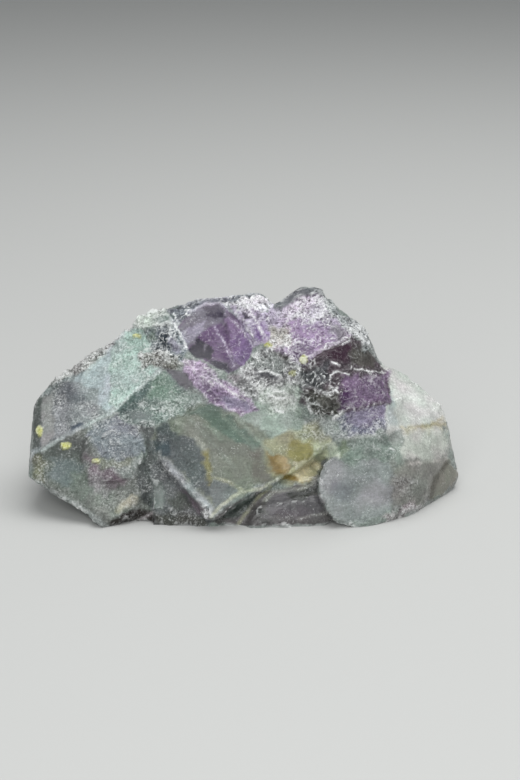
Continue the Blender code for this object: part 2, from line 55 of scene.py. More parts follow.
# Patches of the front, drawn across and up in millimetres from the middle of the front view,
# in the order that they lie on each other: colour, softness of the border, how far the patch
# stands out, how frosted and how scuffed it is (from 0 to 1), and its outline.
PATCHES = {
    "ground": ("#8f9792", 1, 0, 0.4, 0.2, [(-56, -23), (-56, -1), (-37.5, 15.5), (-22, 22), (-2.5, 26),
        (4.5, 24.5), (12, 26), (18, 21.5), (24.5, 16), (28, 9.5), (33, 6.5), (40, 3), (46.5, -4),
        (47, -11.5), (50, -20.5), (44.5, -27), (37, -31.5), (9.5, -34.5), (-37, -34.5), (-46.5, -29)]),
    "slab": ("#9ba3a3", 0.5, 0, 0.4, 0.05, [(-53.5, -19), (-52.5, -10.5), (-52.5, -2.5), (-50.5, 0.5),
        (-47, 3.5), (-42.5, 8), (-35.5, 13), (-30.5, 16), (-26.5, 14.5), (-23, 9), (-22, 4.5),
        (-30, -1), (-33.5, -5), (-38, -7.5), (-46.5, -12), (-50.5, -14)]),
    "slab_rim": ("#8d8d8a", 0.5, 0.25, 0.8, 0.3, [(-50.5, 0.5), (-47, 3.5), (-42.5, 8), (-35.5, 13),
        (-30.5, 16), (-28, 15), (-31.5, 13), (-34.5, 9.5), (-38, 7), (-40.5, 4), (-44.5, 3), (-48, 1)]),
    "slab_pale_blue": ("#b9c4c7", 0.4, 0, 0.35, 0.05, [(-43, 2.5), (-39.5, 5.5), (-34.5, 9.5),
        (-34.5, 4), (-35, -2), (-33, -3), (-35.5, -5), (-37.5, -3), (-37.5, 0), (-40.5, 1)]),
    "slab_mint": ("#b4c9c1", 0.5, 0, 0.5, 0.1, [(-34.5, 9.5), (-31.5, 13.5), (-27.5, 14.5),
        (-25.5, 11), (-25, 8), (-23.5, 5), (-30, -1), (-33, -4), (-35, -3), (-34.5, 1), (-35, 4)]),
    "slab_grey": ("#74797a", 1.8, 0, 0.5, 0.15, [(-52.5, -2.5), (-50.5, 0), (-46.5, 2.5), (-43.5, 2.5),
        (-42.5, -1), (-40.5, -3), (-42, -8), (-46.5, -12), (-50.5, -14), (-52.5, -10.5)]),
    "slab_dark_streak": ("#6f7578", 2.2, 0, 0.3, 0, [(-45.5, 2), (-43.5, 2.5), (-42, -1), (-40.5, -3),
        (-44, -3), (-46, -1.5)]),
    "slab_low": ("#8f9495", 1.8, 0, 0.5, 0.1, [(-46.5, -4), (-41, -3), (-37.5, -3.5), (-37, -6.5),
        (-40.5, -9), (-44, -10), (-47, -11.5), (-49, -12.5), (-50, -11), (-48, -5)]),
    "slab_end": ("#a3a4a2", 0.5, 0, 0.2, 0, [(-50.5, -1.5), (-48, -0.5), (-47.5, -11), (-50, -13.5),
        (-51, -11.5)]),
    "slab_end_edge": ("#636965", 0.4, 0, 0.2, 0, [(-52.5, -2.5), (-51, -0.5), (-50.5, -3), (-51, -13),
        (-53, -14)]),
    "slab_blue": ("#4c5966", 1.8, 0, 0.2, 0, [(-44, -8), (-41, -8), (-38.5, -10.5), (-40.5, -12),
        (-43.5, -10.5)]),
    "foot": ("#717770", 0.5, 0, 0.35, 0.05, [(-52.5, -15), (-50.5, -14), (-46.5, -12), (-40, -8.5),
        (-38.5, -11.5), (-38.5, -16.5), (-34.5, -18.5), (-30, -21), (-26.5, -18.5), (-25, -25.5),
        (-25.5, -32), (-34.5, -32), (-37, -30), (-41.5, -26.5), (-49, -23), (-53.5, -19)]),
    "foot_dark": ("#686d69", 1.8, 0, 0.2, 0, [(-50.5, -14.5), (-46.5, -12), (-39.5, -11.5),
        (-39, -16.5), (-43, -15.5), (-46.5, -15.5), (-49.5, -16)]),
    "foot_grey": ("#7d8787", 1.8, 0, 0.2, 0, [(-48, -15.5), (-43, -15.5), (-40.5, -17.5), (-41.5, -23),
        (-46.5, -22), (-48.5, -19.5)]),
    "foot_green": ("#7a857b", 2.7, 0, 0.3, 0, [(-44, -18.5), (-39.5, -18.5), (-37, -23),
        (-40.5, -25.5), (-44.5, -23.5)]),
    "foot_end": ("#7d7e6b", 1.8, 0, 0.5, 0, [(-53, -18.5), (-52, -15), (-50.5, -15.5), (-49.5, -21.5),
        (-51, -21)]),
    "foot_purple": ("#7e7179", 2.5, 0, 0.35, 0.1, [(-40.5, -15.5), (-38, -17.5), (-33.5, -19),
        (-31, -21), (-33, -23), (-36, -22), (-39, -19.5)]),
    "foot_pale": ("#a09a9e", 2.2, 0, 0.5, 0.1, [(-39, -19), (-37, -20), (-36, -23.5), (-38, -24)]),
    "foot_low": ("#8f958d", 2.7, 0, 0.5, 0.1, [(-37.5, -23.5), (-31, -24), (-29.5, -27), (-34.5, -30),
        (-38, -28)]),
    "foot_cream": ("#b9b7a2", 1.4, 0, 0.5, 0.1, [(-33.5, -28), (-32, -26), (-30, -25), (-29, -26.5),
        (-31.5, -28)]),
    "foot_brown": ("#2f2b27", 0.5, 0, 0.3, 0, [(-34.5, -30.5), (-31.5, -28.5), (-28, -27.5),
        (-24.5, -28), (-23, -30.5), (-25.5, -32), (-34.5, -32)]),
    "frosted_plate": ("#848a90", 0.8, 0, 0.5, 0.1, [(-39, -8.5), (-36.5, -7), (-33.5, -6), (-30.5, -8),
        (-28, -9.5), (-26.5, -13.5), (-28.5, -16), (-33, -16.5), (-37.5, -15.5), (-39.5, -11.5)]),
    "frosted_plate_low": ("#84887a", 1, 0, 0.4, 0, [(-38, -15.5), (-33, -16.5), (-28.5, -15.5),
        (-30.5, -18), (-36.5, -18)]),
    "cleft": ("#4f5553", 0.7, 0, 0.3, 0, [(-28, -8.5), (-25, -8), (-24, -11.5), (-24.5, -18.5),
        (-25, -27), (-27.5, -26.5), (-28.5, -21), (-26, -14.5)]),
    "triangle": ("#7a8b84", 0.4, 0, 0.6, 0.1, [(-33.5, -5), (-30, -1), (-26, 3), (-23, 4.5),
        (-19.5, 3.5), (-17, 0.5), (-13.5, -3), (-18, -5.5), (-22, -7), (-26.5, -8.5), (-31, -8)]),
    "triangle_dark": ("#586b67", 1, 0, 0.35, 0, [(-33, -5), (-30, -1.5), (-25.5, 2.5), (-25, -0.5),
        (-27.5, -3), (-29.5, -6), (-31.5, -6)]),
    "triangle_smooth": ("#6f6d74", 1.2, 0, 0.05, 0, [(-22, 5), (-18.5, 5), (-15.5, 3), (-14.5, 0.5),
        (-17, 0), (-20, 2)]),
    "triangle_green": ("#7d9486", 1.8, 0, 0.4, 0, [(-25, 3), (-22, 4), (-19.5, 0.5), (-21.5, -3),
        (-25, -1.5)]),
    "triangle_right": ("#8f9d95", 1.8, 0, 0.5, 0.05, [(-22, -1), (-17, 0), (-14, -3), (-17, -5),
        (-21.5, -5.5)]),
    "triangle_low": ("#7f8d89", 1.2, 0, 0.1, 0, [(-30.5, -6), (-25.5, -4.5), (-25, -6.5), (-29, -8)]),
    "middle": ("#9ba89e", 0.8, 0, 0.15, 0.05, [(-15, -4), (-11, -3), (0.5, -2), (9.5, -4),
        (10.5, -9.5), (8.5, -13), (2.5, -14.5), (-2.5, -14), (-8, -9)]),
    "middle_teal": ("#6f7c77", 1.8, 0, 0.15, 0, [(-15, -4.5), (-11, -3), (-6.5, -5), (-4.5, -8),
        (-9, -7.5)]),
    "middle_pale": ("#b0bdb3", 2.7, 0, 0.2, 0.1, [(-2.5, -5), (5, -4), (9.5, -8), (6.5, -11),
        (0.5, -9.5)]),
    "big_face": ("#82897b", 1.2, 0, 0.2, 0, [(-24, -8.5), (-19, -6), (-14, -3.5), (-6, -5.5),
        (1, -9.5), (5, -14), (5.5, -18.5), (0.5, -21.5), (-4.5, -23.5), (-11, -28.5), (-22, -16),
        (-25, -12)]),
    "big_dark": ("#5e6666", 1.1, 0, 0.3, 0.05, [(-24, -9), (-22.5, -7), (-12.5, -14.5), (-12, -22),
        (-10.5, -26.5), (-16, -22), (-21.5, -16), (-24, -15.5)]),
    "big_teal": ("#58676a", 1.6, 0, 0.1, 0, [(-25, -12.5), (-20.5, -12.5), (-20, -15.5), (-23, -16)]),
    "big_green": ("#66796c", 1.3, 0, 0.1, 0, [(-17, -5.5), (-12.5, -3), (-9, -5), (-3, -10),
        (-6, -11.5), (-12.5, -6.5)]),
    "big_green_two": ("#6f8376", 1.8, 0, 0.1, 0, [(-10.5, -8), (-4.5, -9.5), (0.5, -12), (-1, -14),
        (-6.5, -13)]),
    "big_pale": ("#878e81", 1.3, 0, 0.05, 0, [(-15, -8), (-10.5, -9.5), (-3, -14), (-4, -16),
        (-11, -14.5), (-14.5, -12)]),
    "big_yellow": ("#918d58", 1.2, 0, 0.1, 0, [(-13, -14.5), (-11.5, -14.5), (-11, -20),
        (-11.5, -22.5), (-12.5, -22.5), (-12.5, -18.5)]),
    "big_low": ("#7b8481", 0.4, 0, 0.15, 0, [(-11, -20.5), (-5.5, -22), (-4.5, -23), (-10.5, -27.5),
        (-12, -23)]),
    "big_right": ("#7e7b71", 2.7, 0, 0.05, 0, [(-2.5, -14.5), (0.5, -15.5), (3.5, -18), (2, -21),
        (-1.5, -20.5)]),
    "recess": ("#676a6b", 0.4, 0, 0.3, 0.1, [(-25, -16), (-22, -16.5), (-16, -22.5), (-11.5, -28.5),
        (-11, -30.5), (-12.5, -32), (-24.5, -32), (-25, -26.5)]),
    "recess_purple": ("#736870", 1.3, 0, 0.3, 0.1, [(-18, -23), (-14, -25.5), (-11, -28.5),
        (-12.5, -29.5), (-16, -27)]),
    "recess_strip": ("#7d8682", 0.25, 0.15, 0.05, 0, [(-25, -20.5), (-23, -21), (-22, -23.5),
        (-22.5, -27.5), (-24.5, -27.5)]),
    "recess_dark": ("#4d524c", 1.2, 0, 0.2, 0, [(-22, -24.5), (-18.5, -23.5), (-16, -26.5), (-16, -28),
        (-21, -28)]),
    "recess_low": ("#4d4e48", 1.4, 0, 0.4, 0, [(-24.5, -28.5), (-14, -29), (-12.5, -32), (-24.5, -32)]),
    "recess_chip": ("#7c767a", 0.4, 0, 0.9, 0, [(-14, -28), (-12, -27.5), (-11, -29.5), (-13, -29.5)]),
    "plate": ("#636160", 0.4, 0, 0.1, 0.05, [(-11.5, -30.5), (-4.5, -25), (0.5, -23.5), (9.5, -22),
        (14, -22.5), (15.5, -28), (17.5, -31), (-3.5, -31.5)]),
    "plate_dark": ("#4b534f", 0.4, 0, 0.2, 0.2, [(-9, -29.5), (-4.5, -25.5), (-1.5, -23.5),
        (-0.5, -25), (-3, -28), (-6, -30)]),
    "plate_right": ("#6f6b6f", 1.2, 0, 0.1, 0.05, [(1, -24.5), (9.5, -23), (14.5, -24), (15, -28),
        (9.5, -30), (1, -29.5)]),
    "plate_deep": ("#464745", 0.5, 0, 0.1, 0, [(5.5, -24), (10.5, -22), (13.5, -19.5), (13.5, -23),
        (9.5, -25.5), (7, -25)]),
    "plate_spot": ("#2c302d", 0.4, 0, 0.1, 0, [(-1, -27.5), (1, -27.5), (2, -28.5), (-0.5, -28.5)]),
    "stain": ("#a9a78a", 1.5, 0, 0.15, 0.05, [(0.5, -12), (7, -9.5), (12, -8), (16, -11.5),
        (16.5, -15.5), (14, -18.5), (12, -21), (8.5, -22.5), (4.5, -21), (2, -18)]),
    "stain_orange": ("#957a44", 1.4, 0, 0.05, 0, [(2, -14.5), (4.5, -14), (6.5, -15.5), (7, -17.5),
        (5, -19), (2.5, -18)]),
    "stain_peach": ("#c0a87c", 1.2, 0, 0.05, 0, [(4.5, -15.5), (7, -15.5), (7.5, -18.5), (5.5, -18.5)]),
    "stain_olive": ("#a49c62", 1.6, 0, 0.05, 0, [(7.5, -11.5), (12, -11), (12.5, -15), (9.5, -16.5),
        (7, -15)]),
    # partly a dark yellow stain and partly painted light: lightened against the shade that falls there
    "dark_stain_and_painted_light": ("#a08a4c", 0.35, 0, 0.05, 0, [(5, -20.5), (6.5, -18.5), (8.5, -18.5), (10, -21.5)]),
    # partly the wedge's own cream colour and partly painted light: lightened against the shade that
    # falls on it
    "cream_stain_and_painted_light": ("#c4ba96", 0.35, 0.1, 0.1, 0, [(7.5, -16.5), (12, -16), (14, -17.5), (13, -19.5),
        (11, -21.5), (9.5, -20.5), (8.5, -18.5)]),
    # painted light: a pale patch that lightens the shade in the step beside the yellow wedge
    "painted_light_gap": ("#f6efc4", 0.6, 0, 0.1, 0, [(6.5, -19), (9.5, -16.5), (12, -15), (14.5, -13),
        (16.5, -14.5), (15.5, -16.5), (12, -20), (9, -21.5)]),
    "stain_lime": ("#c9cfae", 1.8, 0, 0.25, 0.1, [(12, -12), (16, -11.5), (17, -15.5), (14.5, -18),
        (12, -16)]),
    "stain_top": ("#a6a98e", 2.2, 0, 0.5, 0.4, [(8.5, -9), (13.5, -7.5), (15.5, -10.5), (10, -11.5)]),
    "front": ("#a7acab", 0.9, 0, 0.12, 0, [(14.5, -16.5), (16, -15.5), (21, -15), (31, -16.5),
        (32.5, -21), (31.5, -25.5), (28, -29), (19.5, -30.5), (16.5, -29), (15.5, -27), (14, -24),
        (13.5, -20.5)]),
    "front_pale": ("#b4b8b7", 2.7, 0, 0, 0, [(21, -23), (26.5, -20.5), (30.5, -23), (29, -26.5),
        (23, -28)]),
    "front_dark": ("#9da0a4", 2.7, 0, 0, 0, [(16.5, -22), (21, -21), (21.5, -24.5), (17.5, -25.5)]),
    "front_green": ("#88978d", 1.4, 0, 0.3, 0.1, [(18, -12), (26.5, -10.5), (31, -12.5), (31, -15.5),
        (24.5, -16.5), (18, -16.5)]),
    "front_left": ("#96a48d", 1.2, 0, 0.1, 0, [(18.5, -12), (21, -11.5), (19, -15.5), (18, -15.5)]),
    "front_lime": ("#e6eedb", 0.8, 0, 0.3, 0.2, [(15.5, -12.5), (18, -12.5), (18.5, -15.5),
        (16, -15.5)]),
    "shoulder": ("#76788c", 1.6, 0, 0.6, 0.2, [(18.5, -5), (26.5, -4.5), (29.5, -6.5), (29, -10),
        (22, -11), (18, -10.5), (16, -8)]),
    "shoulder_top": ("#9188a0", 1.4, 0, 0.45, 0.3, [(19, -3), (24.5, -3.5), (30.5, -2), (30, -6.5),
        (25, -8), (20.5, -7)]),
    "shoulder_left": ("#a5aea8", 1.8, 0, 0.5, 0.3, [(14, -6.5), (18.5, -7), (20, -10.5), (15, -11)]),
    "lobe": ("#e6ebe3", 0.4, 0, 0.1, 0, [(28, 6), (33, 6), (37, 3.5), (40, 0), (43.5, -3), (45, -7),
        (37, -8), (32.5, -9), (29.5, -11), (28.5, -2.5)]),
    "lobe_core": ("#fbfcf7", 2.2, 0, 0.05, 0, [(31, 2), (37, 0), (41.5, -4), (41.5, -6.5), (36, -7),
        (32, -4.5)]),
    "lobe_left": ("#d8e2df", 1.8, 0, 0.08, 0, [(28.5, -1), (31, 0), (31.5, -8), (29, -9.5)]),
    "lobe_ochre": ("#d0ccb3", 1.2, 0, 0.2, 0, [(32.5, -9), (42.5, -7), (43.5, -9), (37, -10),
        (33, -10.5)]),
    "lobe_middle": ("#e3e4dc", 2, 0, 0.08, 0, [(32, -10), (43, -8.5), (44.5, -12.5), (44, -16),
        (35, -16.5), (32.5, -15.5)]),
    "lobe_inner": ("#a6afa7", 1.4, 0, 0.15, 0, [(29.5, -11), (32.5, -10), (33, -16.5), (30.5, -16)]),
    "lobe_low": ("#9c9d95", 2.2, 0, 0.2, 0.05, [(30.5, -16.5), (35, -16.5), (44, -16), (46.5, -19.5),
        (43, -23.5), (39, -26.5), (33.5, -29), (31, -25.5), (32, -21)]),
    "lobe_rough": ("#868681", 2.2, 0, 0.35, 0.15, [(29.5, -20.5), (39.5, -20), (39, -25),
        (31.5, -26.5)]),
    "lobe_tip": ("#a3a295", 0.4, 0, 0.05, 0, [(43, -16.5), (46.5, -19.5), (43, -23.5), (39.5, -25.5),
        (40.5, -21.5)]),
    "lobe_knob": ("#d3d6cd", 0.5, 0.8, 0.5, 0, [(39.5, 1.5), (42.5, 0.5), (45.5, -2.5), (44.5, -5.5),
        (41, -3)]),
    "lobe_dent": ("#ced5cc", 0.5, -0.6, 0.4, 0, [(33.5, 7), (37, 6.5), (38.5, 2.5), (36, 1.5),
        (34.5, 3.5)]),
    "lobe_rim": ("#989192", 1.4, 0, 0.7, 0, [(28.5, -28.5), (35, -26.5), (40, -26), (35.5, -28.5),
        (30, -30.5)]),
    "dark": ("#5c5258", 0.3, 0, 0.2, 0.7, [(11.5, 7.5), (21, 12.5), (24, 10.5), (27, 6.5), (29.5, 4),
        (30.5, -3), (21, -5), (16, -6), (9.5, -3), (8, 4)]),
    "dark_plum": ("#47313f", 1.3, 0, 0.1, 0.1, [(12, 7.5), (19.5, 11.5), (21.5, 9.5), (20, 6.5),
        (15, 6)]),
    "dark_grey": ("#5c5854", 1.4, 0, 0.25, 0.25, [(21, 10), (24, 10.5), (27, 6.5), (26, 5), (21, 5.5)]),
    "dark_left": ("#5b5e61", 1.4, 0, 0.15, 0.9, [(8.5, 4.5), (15, 5.5), (16.5, 1), (10, 0.5)]),
    "dark_purple": ("#806a87", 2, 0, 0.35, 0.3, [(18.5, 3), (29, 3.5), (30, -2), (24.5, -4),
        (19.5, -4)]),
    "dark_violet": ("#573b60", 1.3, 0, 0.15, 0.3, [(18, 0), (21, 0.5), (21.5, -3), (18.5, -5)]),
    "dark_low": ("#5c5a55", 1.3, 0, 0.35, 0.85, [(10, -0.5), (19, 0), (19, -5.5), (14.5, -6)]),
    "top": ("#b3a5bb", 0.3, 0, 0.5, 1, [(2.5, 20), (7, 22), (10.5, 23), (13.5, 22), (16.5, 19),
        (18.5, 16.5), (21.5, 12.5), (12, 7.5), (9.5, 5.5), (5.5, 6.5), (1.5, 10), (0, 14)]),
    "top_white": ("#c6bbcb", 1.4, 0, 0.8, 1, [(3, 19.5), (9.5, 21), (14, 22), (16.5, 18), (11.5, 16),
        (6, 16.5)]),
    "top_purple": ("#a68eb1", 2.2, 0, 0.35, 0.7, [(7, 16), (11.5, 16.5), (16, 15.5), (17.5, 11.5),
        (12.5, 9), (9.5, 10), (7.5, 13)]),
    "top_right": ("#807884", 1.4, 0, 0.3, 0.4, [(16, 16), (19.5, 14.5), (21, 12.5), (17.5, 11)]),
    "top_left": ("#aea6a2", 1.6, 0, 0.8, 0.9, [(0.5, 15), (3.5, 15.5), (7.5, 13.5), (7, 9.5),
        (2, 9.5)]),
    "top_low": ("#85748f", 1.6, 0, 0.4, 0.6, [(7, 10), (11.5, 11), (12, 8), (9.5, 6), (7, 8)]),
    "groove": ("#6d7175", 0.5, 0.6, 0.15, 0.15, [(3, 21.5), (7, 22), (10, 23.5), (13.5, 24),
        (14.5, 22), (9.5, 21), (6, 19), (3, 19)]),
    "frosted_rim": ("#858b8c", 0.5, 0.35, 0.75, 0.6, [(13.5, 23), (16.5, 21), (19, 17), (24, 15),
        (25.5, 9.5), (24, 9), (22.5, 12), (21, 12.5), (18.5, 15.5), (16, 18)]),
    "hollow": ("#776680", 0.3, 0, 0.1, 0.2, [(-17, 9.5), (-19, 14.5), (-16, 18.5), (-12.5, 20),
        (-8.5, 20), (-5.5, 17), (-2.5, 12.5), (-1.5, 9.5), (-4, 5.5), (-7.5, 4), (-12.5, 6.5)]),
    "hollow_glass": ("#807b88", 0.4, 0, 0.1, 0.1, [(-18.5, 14.5), (-16, 18), (-12.5, 19.5), (-8, 19),
        (-7, 16), (-10.5, 14), (-14.5, 11.5), (-16.5, 10)]),
    "hollow_top": ("#50485a", 0.5, 0, 0, 0, [(-13, 19), (-9, 20), (-7, 17), (-10, 16.5), (-12.5, 17)]),
    "hollow_band": ("#aca7b8", 0.5, 0, 0.1, 0.1, [(-18, 13.5), (-12.5, 16), (-13, 13.5), (-16, 11),
        (-17.5, 10)]),
    "hollow_heart": ("#70587c", 0.4, 0, 0.1, 0.2, [(-14, 13), (-9, 15.5), (-6.5, 10.5), (-7, 6.5),
        (-11, 7.5), (-14.5, 9.5)]),
    "hollow_left": ("#1c132e", 0.4, 0, 0, 0.05, [(-16.5, 9.5), (-14, 12), (-11, 10), (-11.5, 7),
        (-15, 7.5)]),
    "hollow_foot": ("#1f1633", 0.5, 0, 0, 0.05, [(-12.5, 7), (-8, 6.5), (-6.5, 4.5), (-9.5, 4.5)]),
    "hollow_right": ("#947ca6", 0.4, 0, 0.1, 0.3, [(-7, 11.5), (-4.5, 15), (-2.5, 12.5), (-1.5, 9.5),
        (-4, 5.5), (-6, 6.5)]),
    "hollow_upper": ("#a089ad", 0.6, 0, 0.1, 0.3, [(-8.5, 16.5), (-5.5, 16.5), (-3, 13.5), (-6.5, 12)]),
    "stripes": ("#beafca", 0.4, 0, 0.4, 0.5, [(-7, 20), (0.5, 21), (2, 16), (2.5, 11.5), (-1.5, 10),
        (-4.5, 15.5)]),
    "stripes_window": ("#4a4454", 0.3, 0, 0, 0, [(-4.5, 18.5), (-2.5, 19), (-1, 16.5), (-3.5, 16.5)]),
    "stripes_gap": ("#6a6372", 0.3, 0, 0, 0, [(-2, 19), (0.5, 17), (-0.5, 16.5)]),
    "stripes_white": ("#e0dbe3", 1.2, 0, 0.9, 1, [(-9, 21), (0.5, 22), (3, 20), (0.5, 18.5),
        (-4.5, 19)]),
    "stripes_violet": ("#84699c", 1.2, 0, 0.25, 0.5, [(-1, 16.5), (1.5, 15), (2.5, 12), (-0.5, 11)]),
    "skyline": ("#71747d", 0.4, 0, 0.5, 1, [(-22.5, 18), (-18.5, 20), (-13, 21.5), (-7.5, 22.5),
        (-2.5, 23), (0.5, 23), (1, 22), (-8, 20.5), (-14, 19.5), (-18.5, 15.5), (-21, 15)]),
    "skyline_dark": ("#565d60", 1.2, 0, 0.4, 0.6, [(-5.5, 23), (0.5, 23), (0.5, 22), (-4.5, 21.5)]),
    "block": ("#c3cac1", 0.4, 0.7, 0.7, 0.4, [(-30, 15.5), (-28, 17.5), (-22, 18.5), (-20.5, 16.5),
        (-20, 15), (-25.5, 14), (-29.5, 14.5)]),
    "block_grey": ("#87948f", 1.2, 0, 0.5, 0.3, [(-24.5, 16.5), (-21, 17.5), (-20, 15), (-23, 14.5)]),
    "patch": ("#7e878d", 0.6, 0, 0.6, 0.8, [(-27, 14), (-20.5, 15), (-18.5, 14), (-16.5, 9.5),
        (-18, 6.5), (-21, 6.5), (-24.5, 9.5)]),
    "patch_dark": ("#2c3740", 1.3, 0, 0.35, 0.7, [(-23, 13), (-20.5, 13), (-19, 9), (-21.5, 9.5)]),
    "patch_left": ("#7f8c84", 1.3, 0, 0.6, 0.9, [(-26.5, 13.5), (-23.5, 14.5), (-23.5, 12),
        (-25.5, 11.5)]),
    "patch_lilac": ("#9d9daa", 1.2, 0, 0.5, 0.6, [(-20.5, 12.5), (-17.5, 10), (-18.5, 8), (-20, 10)]),
    "crumble": ("#77776f", 0.9, 0.3, 0.8, 1, [(-28, 9), (-22, 9), (-18.5, 7.5), (-18, 5), (-22, 4.5),
        (-27.5, 5.5)]),
    "band": ("#b8a5bf", 0.5, 0, 0.6, 0.65, [(-18, 7), (-14, 6.5), (-11, 4.5), (-8, 2), (-3, -1),
        (0, -4.5), (-4.5, -6), (-10.5, -3.5), (-14, 0), (-17, 3.5)]),
    "band_purple": ("#8f7a98", 1.8, 0, 0.45, 0.6, [(-14, 1.5), (-9.5, 0.5), (-7, -3), (-7.5, -4),
        (-12, -3)]),
    "band_right": ("#948ca4", 1.6, 0, 0.35, 0.4, [(-9, -1.5), (-3.5, -2.5), (-2, -5), (-7.5, -5)]),
    "scuffed": ("#9a9c9b", 0.8, 0, 0.6, 0.9, [(-8, 4), (-4, 5.5), (-1, 9), (2, 9.5), (7.5, 7),
        (9.5, 4.5), (9.5, -1), (7, -3.5), (0.5, -2.5), (-4.5, -1)]),
    "scuffed_dark": ("#5f6064", 2.3, 0, 0.3, 0.5, [(-2, 4.5), (3.5, 5), (5, 2.5), (0.5, 1.5)]),
    "scuffed_green": ("#c0ccc1", 1.8, 0, 0.5, 0.6, [(0.5, 0), (9.5, 1), (10, -5), (3.5, -5),
        (0.5, -3)]),
    "scuffed_white": ("#c4ccc3", 1.4, 0, 0.6, 0.6, [(-0.5, 0.5), (3, -0.5), (7.5, -2), (9, -4),
        (3.5, -5), (1, -3.5)]),
    "scuffed_gold": ("#9e989c", 1.3, 0, 0.5, 0.6, [(-8, 4), (-4.5, 4), (-5, 1), (-7, 2)]),
}

